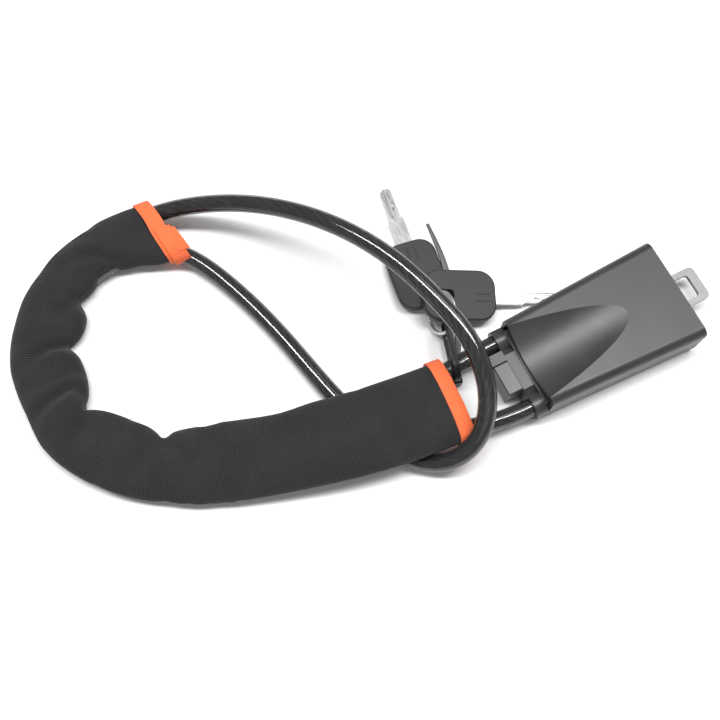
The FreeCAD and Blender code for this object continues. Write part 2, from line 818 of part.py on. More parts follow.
# Points of the sleeve's middle line, from the end near the head to the end at the free loop.
SLEEVE_ROUTE = [
    (-86.5, 1.0, 14.0),
    (-112.0, 2.5, 18.2),
    (-140.0, 7.5, 19.3),
    (-172.0, 16.5, 15.0),
    (-202.0, 26.0, 10.5),
    (-230.0, 37.0, 8.5),
    (-254.0, 53.0, 8.3),
    (-272.0, 76.0, 8.3),
    (-279.0, 103.0, 8.3),
    (-273.0, 130.0, 8.3),
    (-256.0, 153.0, 8.3),
    (-232.0, 167.0, 8.6),
    (-210.0, 170.5, 9.4),
    (-190.0, 167.5, 10.6),
]


def tangent_path(points, name):
    """Straight runs joined by tangent arcs, as one wire, with its length; prints the radii."""
    corners = [Vector(*p) for p in points]
    edges = []
    radii = []
    here = corners[0]
    for before, corner, after in zip(corners, corners[1:], corners[2:]):
        back, ahead = before - corner, after - corner
        turn = math.pi - back.getAngle(ahead)
        reach = 0.45 * min(back.Length, ahead.Length)
        radii.append(reach / math.tan(turn / 2))
        back.normalize()
        ahead.normalize()
        start, end = corner + back * reach, corner + ahead * reach
        inward = back + ahead
        inward.normalize()
        middle = corner + inward * (radii[-1] / math.cos(turn / 2) - radii[-1])
        edges.append(Part.LineSegment(here, start).toShape())
        edges.append(Part.Arc(start, middle, end).toShape())
        here = end
    edges.append(Part.LineSegment(here, corners[-1]).toShape())
    print(f"{name}: radii {[round(r) for r in radii]}")
    return Part.Wire(edges)


def round_section(wire, outer, inner=0.0):
    """A disc, or a ring, square across the start of a wire."""
    first = wire.Edges[0]
    start = first.valueAt(first.FirstParameter)
    along = first.tangentAt(first.FirstParameter)
    discs = [
        Part.Face(Part.Wire(Part.Circle(start, along, radius).toShape()))
        for radius in (outer, inner)
        if radius > 0
    ]
    return discs[0] if len(discs) == 1 else discs[0].cut(discs[1])


def make_tube(wire, outer, inner, name):
    """A tube along a wire; its volume is compared with its section times its length."""
    tube = wire.makePipe(round_section(wire, outer, inner))
    if tube.ShapeType != "Solid":
        tube = tube.Solids[0]
    expected = math.pi * (outer**2 - inner**2) * wire.Length
    print(f"{name}: length {wire.Length:.0f}, volume {tube.Volume / expected:.4f} of section times length")
    return tube


rope_route = list(CABLE_ROUTE)
ROPE_END_X = FERRULE_X + FERRULE_LENGTH
rope_route[0] = (ROPE_END_X, *CABLE_ROUTE[0][1:])
rope_route[-1] = (ROPE_END_X, *CABLE_ROUTE[-1][1:])
sheath_wire = tangent_path(CABLE_ROUTE, "cable sheath")
bore = size("rope_radius") + 0.05
sheath = make_tube(sheath_wire, size("cable_radius"), bore, "cable sheath")
keep(made_shape("sheath", sheath), "cable_sheath")
rope = make_tube(tangent_path(rope_route, "cable core"), size("rope_radius"), 0.0, "cable core")
keep(made_shape("core", rope), "cable_core")

for label, y in (("ferrule_upper", CABLE_Y), ("ferrule_lower", -CABLE_Y)):
    ring = cylinder(f"{label}_ring", (FERRULE_X, y, AXIS_Z), cell("ferrule_radius"), FERRULE_LENGTH, "X")
    hole = cylinder(f"{label}_hole", (FERRULE_X - 1, y, AXIS_Z), cell("rope_radius"), 10.0, "X")
    keep(cut(f"{label}_swage", ring, hole), label)


# ---------------------------------------------------------------- sleeve


def oval_section(centre, along, half_width, half_height):
    """A flat-sided oval wire across a direction, its flats level."""
    across = Vector(-along.y, along.x, 0)
    across.normalize()
    up = along.cross(across)
    if up.z < 0:
        up = up * -1
    flat = half_width - half_height
    right, left = centre + across * flat, centre - across * flat
    high, side = up * half_height, across * half_height
    edges = [
        Part.LineSegment(left + high, right + high).toShape(),
        Part.Arc(right + high, right + side, right - high).toShape(),
        Part.LineSegment(right - high, left - high).toShape(),
        Part.Arc(left - high, left - side, left + high).toShape(),
    ]
    return Part.Wire(edges)


def sweep_between(wire, first, last):
    """A solid along a wire that changes from the first section to the last, kept upright."""
    maker = Part.BRepOffsetAPI.MakePipeShell(wire)
    maker.setBiNormalMode(Z)
    maker.add(first)
    maker.add(last)
    maker.build()
    maker.makeSolid()
    return maker.shape()


def end_frames(wire):
    """The point and the direction at each end of a wire."""
    first, last = wire.Edges[0], wire.Edges[-1]
    return (
        (first.valueAt(first.FirstParameter), first.tangentAt(first.FirstParameter)),
        (last.valueAt(last.LastParameter), last.tangentAt(last.LastParameter)),
    )


def make_sleeve():
    wire = tangent_path(SLEEVE_ROUTE, "sleeve")
    widths = (size("sleeve_half_width"), size("sleeve_end_half_width"))
    layers = []
    for inset in (0.0, size("sleeve_fabric")):
        sections = [
            oval_section(centre, along, half - inset, size("sleeve_half_height") - inset)
            for (centre, along), half in zip(end_frames(wire), widths)
        ]
        layers.append(sweep_between(wire, *sections))
    return wire, layers[0].cut(layers[1])


sleeve_wire, sleeve_shape = make_sleeve()
keep(made_shape("sleeve_tube", sleeve_shape), "sleeve")


def make_binding(end, half_width, inward):
    """The webbing band sewn round one end of the sleeve."""
    centre, along = end
    half_height = size("sleeve_half_height")
    thick = size("binding_thick")
    run = along * (size("binding_length") * inward)
    outer = oval_section(centre, along, half_width + thick, half_height + thick)
    inner = oval_section(centre, along, half_width + 0.05, half_height + 0.05)
    return Part.Face(outer).extrude(run).cut(Part.Face(inner).extrude(run))


near_end, far_end = end_frames(sleeve_wire)
right_band = make_binding(near_end, size("sleeve_half_width"), 1)
left_band = make_binding(far_end, size("sleeve_end_half_width"), -1)
keep(made_shape("binding_right", right_band), "sleeve_binding_right")
keep(made_shape("binding_left", left_band), "sleeve_binding_left")


# ---------------------------------------------------------------- keys, ring and tie

# The place of each blade's root, the blade's heading and how far it points down: the second key's
# bow rests on the first one's.
KEYS = {
    "key_1": ((-65.4, 98.4, 1.0), 81.3, 4.0),
    "key_2": ((-36.8, 45.6, 4.2), -25.0, 9.5),
}
RING_PLACE = Vector(-68.9, 49.65, 11.1)
RING_AXIS = Vector(-0.83, 0.21, 0.52)

# The tie goes round the upper strand at this place, turned towards the ring; its tail lies flat.
TIE_PLACE = Vector(-77.7, 18.5, 13.1)
TIE_TURN = -17.0
TIE_RING_END = Vector(0, 18.5, -0.8)
TIE_RING_RADIUS = 7.4
TIE_CLEARANCE = 2.0
TIE_HEAD_SIZES = (7.4, 6.4, 6.0)
TIE_HEAD_CORNER = Vector(-3.7, -8.2, -11.4)
TAIL_HEIGHT = 1.4
TAIL_LINE = [(-75.0, 13.5), (-70.0, 24.0), (-56.5, 47.0), (-50.5, 72.0), (-49.0, 97.0)]


def make_blade(name):
    """A stepped blade with a milled groove, along +X from its root at the origin."""
    body = new_body(f"{name}_blade_body")
    inside, step, length = size("blade_in_bow"), size("blade_step"), size("blade_length")
    root, tip = size("blade_root_width") / 2, size("blade_tip_width") / 2
    low = (size("bow_thick") - size("blade_thick")) / 2
    sketch = new_sketch(body, f"{name}_blade_outline", "XY_Plane", low)
    add_outline(
        sketch,
        [
            (-inside, -root),
            (step, -root),
            (step + 1.2, -tip),
            (length - 1.5, -tip),
            (length, -tip + 1.8),
            (length, tip - 1.8),
            (length - 1.5, tip),
            (step + 1.2, tip),
            (step, root),
            (-inside, root),
        ],
    )
    pad(body, sketch, cell("blade_thick"))
    for face, offset, down in (("top", low + size("blade_thick"), False), ("under", low, True)):
        sketch = new_sketch(body, f"{name}_groove_{face}", "XY_Plane", offset)
        add_rectangle(sketch, step + 1.0, 0.4 if down else -1.6, length - step, 1.2)
        pocket(body, sketch, 0.6, backwards=down)
    return body


def make_bow(name):
    """The moulded grip behind the blade, with the ring's hole near its far end."""
    body = new_body(f"{name}_bow_body")
    sketch = new_sketch(body, f"{name}_bow_outline", "XY_Plane", 0.0)
    add_rectangle(sketch, "-Sizes.bow_length", "-Sizes.bow_width / 2", cell("bow_length"), cell("bow_width"))
    pad(body, sketch, cell("bow_thick"))
    round_edges(body, size("bow_corner"), lambda e: is_along(e, Z))
    round_edges(body, 1.2, lambda e: not 0.1 < e.CenterOfMass.z < size("bow_thick") - 0.1)
    sketch = new_sketch(body, f"{name}_ring_hole", "XY_Plane", 0.0)
    add_rectangle(
        sketch,
        "Sizes.ring_hole_margin - Sizes.bow_length",
        "-Sizes.ring_hole_width / 2",
        cell("ring_hole_length"),
        cell("ring_hole_width"),
    )
    pocket(body, sketch, cell("bow_thick"), backwards=True)
    low = (size("bow_thick") - size("blade_thick")) / 2
    sketch = new_sketch(body, f"{name}_blade_seat", "XY_Plane", low)
    add_rectangle(
        sketch, "-Sizes.blade_in_bow", "-Sizes.blade_root_width / 2", 20.0, cell("blade_root_width")
    )
    pocket(body, sketch, cell("blade_thick"), backwards=True)
    return body


for name, (root, heading, pitch) in KEYS.items():
    for kind, maker in (("blade", make_blade), ("bow", make_bow)):
        piece = maker(name)
        piece.Placement = Placement(Vector(*root), Rotation(Z, heading) * Rotation(Y, pitch))
        keep(piece, f"{name}_{kind}")

ring = doc.addObject("Part::Torus", "split_ring")
bind(ring, Radius1=cell("ring_radius"), Radius2=cell("ring_wire_radius"))
ring.Placement = Placement(RING_PLACE, Rotation(Z, RING_AXIS))
keep(ring, "key_ring")


def make_tie():
    """A cable tie round the upper strand and the ring: band, head and a long flat tail."""
    width, thick = size("tie_width"), size("tie_thick")
    strand = X * (-width / 2)
    ring_end = strand + TIE_RING_END
    strand_radius = size("cable_radius") + TIE_CLEARANCE
    faces = []
    for extra in (thick, 0.0):
        radii = (strand_radius + extra, TIE_RING_RADIUS + extra)
        axis = ring_end - strand
        tilt = math.acos((radii[0] - radii[1]) / axis.Length)
        heading = math.atan2(axis.z, axis.y)
        touches = []
        for side in (1, -1):
            angle = heading + side * tilt
            ray = Vector(0, math.cos(angle), math.sin(angle))
            touches.append((strand + ray * radii[0], ring_end + ray * radii[1]))
        back = Vector(0, math.cos(heading), math.sin(heading))
        edges = [
            Part.LineSegment(*touches[0]).toShape(),
            Part.Arc(touches[0][1], ring_end + back * radii[1], touches[1][1]).toShape(),
            Part.LineSegment(touches[1][1], touches[1][0]).toShape(),
            Part.Arc(touches[1][0], strand - back * radii[0], touches[0][0]).toShape(),
        ]
        faces.append(Part.Face(Part.Wire(edges)))
    band = faces[0].cut(faces[1]).extrude(X * width)
    head = Part.makeBox(*TIE_HEAD_SIZES, TIE_HEAD_CORNER)
    head = head.cut(Part.makeCylinder(strand_radius, 40, strand - X * 20, X))
    loop = band.fuse(head)
    loop.Placement = Placement(TIE_PLACE, Rotation(Z, TIE_TURN))

    line = [Vector(*point, TAIL_HEIGHT) for point in TAIL_LINE]
    left, right = [], []
    for k, point in enumerate(line):
        along = line[min(k + 1, len(line) - 1)] - line[max(k - 1, 0)]
        along.normalize()
        half = 1.0 if k == len(line) - 1 else width / 2
        across = Vector(-along.y, along.x, 0) * half
        left.append(point + across)
        right.append(point - across)
    outline = Part.makePolygon(left + right[::-1] + [left[0]])
    tail = Part.Face(outline).extrude(Z * thick)
    return loop.fuse(tail).removeSplitter()


keep(made_shape("tie_loop", make_tie()), "cable_tie")


# ---------------------------------------------------------------- checks and export

doc.recompute()
for item in doc.Objects:
    if any(flag in item.State for flag in ("Invalid", "Error")):
        raise RuntimeError(f"{item.Name} ({item.Label}) failed: {item.State}")
for item in SUBPARTS:
    if item.Shape.isNull() or not item.Shape.isValid() or item.Shape.Volume <= 0:
        raise RuntimeError(f"{item.Label} has no valid shape")
    if len(item.Shape.Solids) != 1:
        print(f"{item.Label}: {len(item.Shape.Solids)} solids")
    item.Shape.exportStep(f"parts/{item.Label}.step")
print(f"{len(SUBPARTS)} sub-parts written")
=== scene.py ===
"""Steering-wheel to seat-belt cable lock: the visible model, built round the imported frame.

The lock head lies flat, with its belt tongue towards +X.  One smoky sheathed cable leaves its two bosses,
passes twice through a woven sleeve and makes a free loop.  Two keys hang from the cable on a split ring
and a cable tie.  Metres, in the frame of the CAD model.
"""

import json
import logging
import math
from dataclasses import dataclass, field
from enum import Enum
from typing import Callable, Sequence

import bmesh
import bpy
from mathutils import Matrix, Vector, noise

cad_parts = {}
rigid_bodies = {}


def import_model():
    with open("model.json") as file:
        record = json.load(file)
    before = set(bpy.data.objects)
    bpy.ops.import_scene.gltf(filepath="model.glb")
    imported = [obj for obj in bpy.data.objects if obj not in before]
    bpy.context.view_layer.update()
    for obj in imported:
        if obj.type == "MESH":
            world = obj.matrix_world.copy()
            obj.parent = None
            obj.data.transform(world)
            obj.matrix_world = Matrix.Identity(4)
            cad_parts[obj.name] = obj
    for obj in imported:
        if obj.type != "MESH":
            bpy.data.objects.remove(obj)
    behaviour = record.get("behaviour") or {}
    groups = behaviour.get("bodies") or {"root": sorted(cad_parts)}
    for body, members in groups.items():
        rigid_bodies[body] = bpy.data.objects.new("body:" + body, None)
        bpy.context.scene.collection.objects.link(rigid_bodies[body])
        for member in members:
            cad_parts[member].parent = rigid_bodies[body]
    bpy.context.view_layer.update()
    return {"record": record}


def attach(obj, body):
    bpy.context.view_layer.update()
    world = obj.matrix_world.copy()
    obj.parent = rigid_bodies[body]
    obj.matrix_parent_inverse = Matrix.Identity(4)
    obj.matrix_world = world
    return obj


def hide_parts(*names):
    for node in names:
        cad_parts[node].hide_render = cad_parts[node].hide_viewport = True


MM = 0.001
NOISE_LOW, NOISE_HIGH = 0.3, 0.7
LOG = logging.getLogger("cable_lock")

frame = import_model()


class Slot(Enum):
    """The record's material slots, one for each kind of new piece."""

    SHEATH = "sheath"
    ROPE = "rope"
    SLEEVE = "sleeve_fabric"
    BINDING = "binding"
    KEY_STEEL = "key_steel"
    KEY_PLASTIC = "key_plastic"
    TIE = "tie_plastic"


class Body(Enum):
    """The moving bodies that the new pieces ride on."""

    HEAD = "head"
    KEYS = "key_bunch"


# ---------------------------------------------------------------- node graphs and finishes


class Graph:
    """A material's node tree with its Principled shader, and short ways to add nodes to it."""

    def __init__(self, name: str) -> None:
        """Make the material.

        Args:
            name: the material's name.
        """
        self.material = bpy.data.materials.new(name)
        self.material.use_nodes = True
        self.nodes = self.material.node_tree.nodes
        self.shader = self.nodes["Principled BSDF"]

    def add(self, kind: str, inputs: dict | None = None, **settings: object) -> bpy.types.Node:
        """Add a node.

        Args:
            kind: the node's type without the ShaderNode prefix.
            inputs: values, or sockets to link, by input name or number.
            settings: attributes to set on the node.

        Returns:
            The new node.
        """
        node = self.nodes.new("ShaderNode" + kind)
        for name, value in settings.items():
            setattr(node, name, value)
        for name, value in (inputs or {}).items():
            if isinstance(value, bpy.types.NodeSocket):
                self.material.node_tree.links.new(value, node.inputs[name])
            else:
                node.inputs[name].default_value = value
        return node

    def drive(self, socket: str, source: bpy.types.NodeSocket) -> None:
        """Link a node's output to one of the shader's inputs."""
        self.material.node_tree.links.new(source, self.shader.inputs[socket])

    def set(self, **values: object) -> None:
        """Set constant values on the shader's own sockets; an underscore stands for a space."""
        for name, value in values.items():
            self.shader.inputs[name.replace("_", " ")].default_value = value

    def place(self, use_uv: bool, scale: Sequence[float] = (1, 1, 1)) -> bpy.types.NodeSocket:
        """Give the coordinates of a pattern.

        Args:
            use_uv: True for the piece's UV map, False for Object coordinates.
            scale: the pattern's repeats per unit of each coordinate.

        Returns:
            The coordinates' socket.
        """
        where = self.add("TexCoord")
        source = where.outputs["UV" if use_uv else "Object"]
        return self.add("Mapping", {"Vector": source, "Scale": tuple(scale)}).outputs["Vector"]

    def grain(self, where: bpy.types.NodeSocket, scale: float, detail: float = 4) -> bpy.types.NodeSocket:
        """Give a noise pattern's value from 0 to 1."""
        inputs = {"Vector": where, "Scale": scale, "Detail": detail}
        return self.add("TexNoise", inputs).outputs["Fac"]

    def between(
        self,
        factor: bpy.types.NodeSocket,
        low: float,
        high: float,
        dark: Sequence[float],
        light: Sequence[float],
    ) -> bpy.types.NodeSocket:
        """Give a colour that runs from one to another.

        Args:
            factor: the value that chooses.
            low: the value that gives the first colour.
            high: the value that gives the second colour.
            dark: the first colour, linear RGB.
            light: the second colour, linear RGB.

        Returns:
            The colour's socket.
        """
        ramp = self.add("ValToRGB", {"Fac": factor})
        ramp.color_ramp.elements[0].position = low
        ramp.color_ramp.elements[0].color = (*dark, 1)
        ramp.color_ramp.elements[1].position = high
        ramp.color_ramp.elements[1].color = (*light, 1)
        return ramp.outputs["Color"]

    def mottle(
        self, factor: bpy.types.NodeSocket, colour: Sequence[float], darker: float, lighter: float
    ) -> None:
        """Drive the base colour between a darker and a lighter shade of one colour."""
        shades = shade(colour, darker), shade(colour, lighter)
        self.drive("Base Color", self.between(factor, NOISE_LOW, NOISE_HIGH, *shades))

    def spread(self, factor: bpy.types.NodeSocket, low: float, high: float) -> bpy.types.NodeSocket:
        """Give a value spread from low to high over the usual span of a noise."""
        span = {"From Min": NOISE_LOW, "From Max": NOISE_HIGH, "To Min": low, "To Max": high}
        return self.add("MapRange", {"Value": factor, **span}).outputs["Result"]

    def bump(
        self, height: bpy.types.NodeSocket, depth: float, below: bpy.types.Node | None = None
    ) -> bpy.types.Node:
        """Add relief to the surface.

        Args:
            height: the relief, 0 to 1.
            depth: the relief's depth in metres.
            below: another relief that this one lies on.

        Returns:
            The bump node, already driving the shader's normal.
        """
        inputs = {"Height": height, "Distance": depth, "Strength": 1.0}
        if below:
            inputs["Normal"] = below.outputs["Normal"]
        node = self.add("Bump", inputs)
        self.drive("Normal", node.outputs["Normal"])
        return node


def shade(colour: Sequence[float], factor: float) -> tuple[float, ...]:
    """Give a colour made lighter or darker by a factor."""
    return tuple(min(1.0, channel * factor) for channel in colour)


@dataclass(frozen=True)
class MouldedPlastic:
    """Moulded plastic with a spark-eroded texture."""

    name: str
    colour: tuple[float, float, float]
    roughness: float = 0.42
    grain_size: float = 0.35 * MM
    grain_depth: float = 0.018 * MM
    gloss: float = 0.5
    cloudiness: float = 45

    def make(self) -> bpy.types.Material:
        """Make the material."""
        graph = Graph(self.name)
        where = graph.place(False)
        fine = graph.grain(where, 1 / self.grain_size, 3)
        broad = graph.grain(where, self.cloudiness, 2)
        graph.mottle(broad, self.colour, 0.88, 1.14)
        graph.drive("Roughness", graph.spread(broad, self.roughness - 0.04, self.roughness + 0.05))
        graph.set(Specular_IOR_Level=self.gloss)
        graph.bump(fine, self.grain_depth)
        return graph.material


@dataclass(frozen=True)
class Steel:
    """Plated or brushed steel with fine lines along one direction."""

    name: str
    colour: tuple[float, float, float] = (0.62, 0.63, 0.65)
    roughness: float = 0.26
    lines: tuple[float, float, float] = (60, 2600, 2600)
    depth: float = 0.004 * MM

    def make(self) -> bpy.types.Material:
        """Make the material."""
        graph = Graph(self.name)
        streaks = graph.grain(graph.place(False, self.lines), 1, 3)
        broad = graph.grain(graph.place(False), 70, 3)
        graph.mottle(broad, self.colour, 0.93, 1.05)
        graph.drive("Roughness", graph.spread(streaks, self.roughness - 0.06, self.roughness + 0.08))
        graph.set(Metallic=1.0)
        graph.bump(streaks, self.depth)
        return graph.material


@dataclass(frozen=True)
class SmokySheath:
    """Glossy smoke-tinted vinyl that shows the rope inside it."""

    name: str
    colour: tuple[float, float, float] = (0.022, 0.0225, 0.0235)
    opacity: float = 0.74

    def make(self) -> bpy.types.Material:
        """Make the material."""
        graph = Graph(self.name)
        haze = graph.grain(graph.place(False), 160, 3)
        graph.mottle(haze, self.colour, 0.8, 1.3)
        graph.drive("Roughness", graph.spread(haze, 0.05, 0.11))
        graph.set(Alpha=self.opacity, Specular_IOR_Level=1.0, IOR=1.5)
        return graph.material


@dataclass(frozen=True)
class TwistedWire:
    """The strands of a steel wire rope, each with the fine helix of its wires."""

    name: str
    colour: tuple[float, float, float] = (0.3, 0.3, 0.31)
    wires: float = 12.0
    slant: float = 900.0

    def make(self) -> bpy.types.Material:
        """Make the material."""
        graph = Graph(self.name)
        where = graph.place(True, (self.slant, self.wires, 1))
        helix = graph.add(
            "TexWave", {"Vector": where, "Scale": 1.0}, bands_direction="DIAGONAL", wave_profile="SIN"
        ).outputs["Fac"]
        graph.drive("Base Color", graph.between(helix, 0.1, 0.8, shade(self.colour, 0.25), self.colour))
        graph.set(Metallic=1.0, Roughness=0.38)
        graph.bump(helix, 0.15 * MM)
        return graph.material


@dataclass(frozen=True)
class WovenCloth:
    """Plain-weave cloth, with its threads counted along the piece's UV map in metres."""

    name: str
    colour: tuple[float, float, float]
    thread: float = 0.45 * MM
    depth: float = 0.09 * MM
    roughness: float = 0.95
    sheen: float = 0.12
    rib: float = 0.0
    contrast: float = 0.62
    rib_share: float = 0.28

    def make(self) -> bpy.types.Material:
        """Make the material."""
        graph = Graph(self.name)
        where = graph.place(True, (1 / self.thread, 1 / self.thread, 1))
        split = graph.add("SeparateXYZ", {"Vector": where})
        waves = []
        for axis in ("X", "Y"):
            turned = graph.add("Math", {0: split.outputs[axis], 1: math.pi}, operation="MULTIPLY")
            waves.append(graph.add("Math", {0: turned.outputs[0]}, operation="SINE").outputs[0])
        weave = graph.add("Math", {0: waves[0], 1: waves[1]}, operation="MULTIPLY").outputs[0]
        height = graph.add("MapRange", {"Value": weave, "From Min": -1.0, "From Max": 1.0}).outputs["Result"]
        fuzz = graph.grain(graph.place(False), 900, 3)
        patches = graph.grain(graph.place(False), 55, 3)
        threads = graph.add("Math", {0: height, 1: fuzz}, operation="ADD").outputs[0]
        total = graph.add("Math", {0: threads, 1: patches}, operation="ADD").outputs[0]
        value = graph.add("Math", {0: total, 1: 1 / 3}, operation="MULTIPLY").outputs[0]
        colours = (shade(self.colour, self.contrast), shade(self.colour, 2 - self.contrast))
        graph.set(
            Roughness=self.roughness,
            Sheen_Weight=self.sheen,
            Sheen_Roughness=0.45,
            Sheen_Tint=(1, 1, 1, 1),
            Specular_IOR_Level=0.12,
        )
        relief = graph.bump(height, self.depth)
        if self.rib:
            rows = graph.add(
                "TexWave",
                {"Vector": graph.place(True, (1 / self.rib, 0, 1)), "Scale": 1 / 3.2, "Distortion": 0.6},
                bands_direction="X",
            ).outputs["Fac"]
            graph.bump(rows, 2 * self.depth, relief)
            value = graph.add("Math", {0: value, 1: 1 - self.rib_share}, operation="MULTIPLY").outputs[0]
            ribbed = {0: rows, 1: self.rib_share, 2: value}
            value = graph.add("Math", ribbed, operation="MULTIPLY_ADD").outputs[0]
        graph.drive("Base Color", graph.between(value, 0.25, 0.75, *colours))
        return graph.material


@dataclass(frozen=True)
class Finishes:
    """Every finish of the lock, made once."""

    shell: bpy.types.Material
    casting: bpy.types.Material
    cap: bpy.types.Material
    tongue: bpy.types.Material
    steel: bpy.types.Material
    brass: bpy.types.Material
    glide: bpy.types.Material
    sheath: bpy.types.Material
    rope: bpy.types.Material
    cloth: bpy.types.Material
    tape: bpy.types.Material
    key_steel: bpy.types.Material
    key_plastic: bpy.types.Material
    tie: bpy.types.Material

    @classmethod
    def make(cls) -> "Finishes":
        """Make them all."""
        return cls(
            shell=MouldedPlastic("shell_plastic_black", (0.032, 0.0325, 0.034), 0.38).make(),
            casting=MouldedPlastic("casting_plastic_black", (0.04, 0.04, 0.042), 0.34).make(),
            cap=MouldedPlastic("cap_plastic_black", (0.07, 0.07, 0.072), 0.32).make(),
            tongue=Steel(
                "tongue_plated_steel", (0.2, 0.202, 0.205), 0.4, (40, 2400, 2400), 0.001 * MM
            ).make(),
            steel=Steel("zinc_plated_steel").make(),
            brass=Steel("machined_brass", (0.72, 0.52, 0.24), 0.3).make(),
            glide=MouldedPlastic("glide_acetal", (0.72, 0.72, 0.7), 0.5).make(),
            sheath=SmokySheath("smoky_vinyl").make(),
            rope=TwistedWire("wire_rope").make(),
            cloth=WovenCloth("sleeve_cloth", (0.029, 0.029, 0.0305), rib=1.1 * MM, contrast=0.5).make(),
            tape=WovenCloth("binding_tape", (0.93, 0.17, 0.065), 0.5 * MM, sheen=0.15, contrast=0.8).make(),
            key_steel=Steel("key_nickel", (0.62, 0.62, 0.63), 0.34, (1800, 90, 1800), 0.001 * MM).make(),
            key_plastic=MouldedPlastic("key_plastic_black", (0.022, 0.022, 0.024), 0.55).make(),
            tie=MouldedPlastic(
                "tie_nylon_black", (0.01, 0.01, 0.011), 0.34, 0.8 * MM, 0.006 * MM, 0.35
            ).make(),
        )


def dress(piece: bpy.types.Object, material: bpy.types.Material) -> None:
    """Give a piece its only material.

    Args:
        piece: the object to dress.
        material: the finish.
    """
    if piece.material_slots:
        for place in piece.material_slots:
            place.material = material
    else:
        piece.data.materials.append(material)


# ---------------------------------------------------------------- shared mesh tools


def finish_mesh(
    bm: bmesh.types.BMesh, name: str, material: bpy.types.Material, smooth: bool = True
) -> bpy.types.Object:
    """Turn a bmesh into a piece of the scene.

    Args:
        bm: the mesh, freed here.
        name: the piece's name.
        material: its finish.
        smooth: True for smooth shading.

    Returns:
        The new object.
    """
    mesh = bpy.data.meshes.new(name)
    for face in bm.faces:
        face.smooth = smooth
    bm.to_mesh(mesh)
    bm.free()
    piece = bpy.data.objects.new(name, mesh)
    bpy.context.collection.objects.link(piece)
    dress(piece, material)
    return piece


def claim(piece: bpy.types.Object, body: Body, slot: Slot, *nodes: str) -> bpy.types.Object:
    """Attach a piece to the body it rides on, hide the CAD nodes it stands for and log its faces."""
    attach(piece, body.value)
    if nodes:
        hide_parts(*nodes)
    LOG.info("%s: %d faces", piece.name, len(getattr(piece.data, "polygons", ())))
    return piece


def wrap_grid(
    along: int,
    across: int,
    place: Callable[[float, float], Vector],
    closed: bool,
    cut: tuple[float, float] = (1.0, 1.0),
) -> bmesh.types.BMesh:
    """Bend a flat grid into a strip or a tube.

    Args:
        along: the number of steps along the piece.
        across: the number of steps across the strip or round the tube.
        place: gives the point at (u, v), both 0 to 1.
        closed: True to weld the two long edges.
        cut: the flat piece's length and width, for the UV map.

    Returns:
        The bent mesh, with a UV map as large as the flat piece.
    """
    bm = bmesh.new()
    bmesh.ops.create_grid(bm, x_segments=along, y_segments=across, size=0.5, calc_uvs=False)
    layer = bm.loops.layers.uv.new("UVMap")
    for face in bm.faces:
        for loop in face.loops:
            loop[layer].uv = ((loop.vert.co.x + 0.5) * cut[0], (loop.vert.co.y + 0.5) * cut[1])
    for vert in bm.verts:
        vert.co = place(vert.co.x + 0.5, vert.co.y + 0.5)
    if closed:
        bmesh.ops.remove_doubles(bm, verts=bm.verts, dist=0.01 * MM)
    bmesh.ops.recalc_face_normals(bm, faces=bm.faces)
    return bm


def spline_line(points: Sequence[Vector], order: int = 3, steps: int = 12) -> list[Vector]:
    """Give the points of a NURBS line.

    Args:
        points: its control points.
        order: the spline's order.
        steps: the points per control point.

    Returns:
        Points along the line, from its first end to its last.
    """
    curve = make_spline("guide_line", points, 0.0, order, steps)
    guide = bpy.data.objects.new("guide_line", curve)
    bpy.context.collection.objects.link(guide)
    bpy.context.view_layer.update()
    mesh = bpy.data.meshes.new_from_object(guide.evaluated_get(bpy.context.evaluated_depsgraph_get()))
    line = [vert.co.copy() for vert in mesh.vertices]
    bpy.data.objects.remove(guide)
    bpy.data.curves.remove(curve)
    bpy.data.meshes.remove(mesh)
    return line


def make_spline(
    name: str, points: Sequence[Vector], radius: float, order: int = 3, steps: int = 12
) -> bpy.types.Curve:
    """Make a curve of one open NURBS spline through its two end points.

    Args:
        name: the curve's name.
        points: the control points.
        radius: the bevel's radius, 0 for a bare line.
        order: the spline's order.
        steps: the resolution per control point.

    Returns:
        The curve.
    """
    curve = bpy.data.curves.new(name, "CURVE")
    curve.dimensions = "3D"
    curve.resolution_u = curve.render_resolution_u = steps
    curve.bevel_depth = radius
    curve.bevel_resolution = 10
    curve.use_fill_caps = radius > 0
    spline = curve.splines.new("NURBS")
    spline.points.add(len(points) - 1)
    for control, point in zip(spline.points, points):
        control.co = (*point, 1)
    spline.order_u = order
    spline.use_endpoint_u = True
    return curve


@dataclass
class Track:
    """A line with a side and an up direction at each point, for pieces that follow it."""

    line: list[Vector]
    distances: list[float] = field(init=False)

    def __post_init__(self) -> None:
        """Measure the line."""
        self.distances = [0.0]
        for first, second in zip(self.line, self.line[1:]):
            self.distances.append(self.distances[-1] + (second - first).length)

    @property
    def length(self) -> float:
        """The line's length."""
        return self.distances[-1]

    def at(self, distance: float) -> tuple[Vector, Vector]:
        """Give the place and direction at a distance along the line.

        Args:
            distance: metres from the start, held within the line.

        Returns:
            The point and the unit direction there.
        """
        distance = min(max(distance, 0.0), self.length)
        low, high = 0, len(self.distances) - 2
        while low < high:
            middle = (low + high + 1) // 2
            if self.distances[middle] <= distance:
                low = middle
            else:
                high = middle - 1
        run = self.line[low + 1] - self.line[low]
        share = (distance - self.distances[low]) / max(run.length, 1e-9)
        return self.line[low].lerp(self.line[low + 1], min(max(share, 0.0), 1.0)), run.normalized()

    def smooth_at(self, distance: float, reach: float) -> tuple[Vector, Vector]:
        """Give the place at a distance, with a direction averaged over a reach each way."""
        before, after = self.at(distance - reach)[0], self.at(distance + reach)[0]
        return self.at(distance)[0], (after - before).normalized()


def level_frame(direction: Vector) -> tuple[Vector, Vector]:
    """Give the level left-hand side and the upward direction of a line's direction."""
    side = Vector((0, 0, 1)).cross(direction).normalized()
    return side, direction.cross(side).normalized()


# ---------------------------------------------------------------- cable


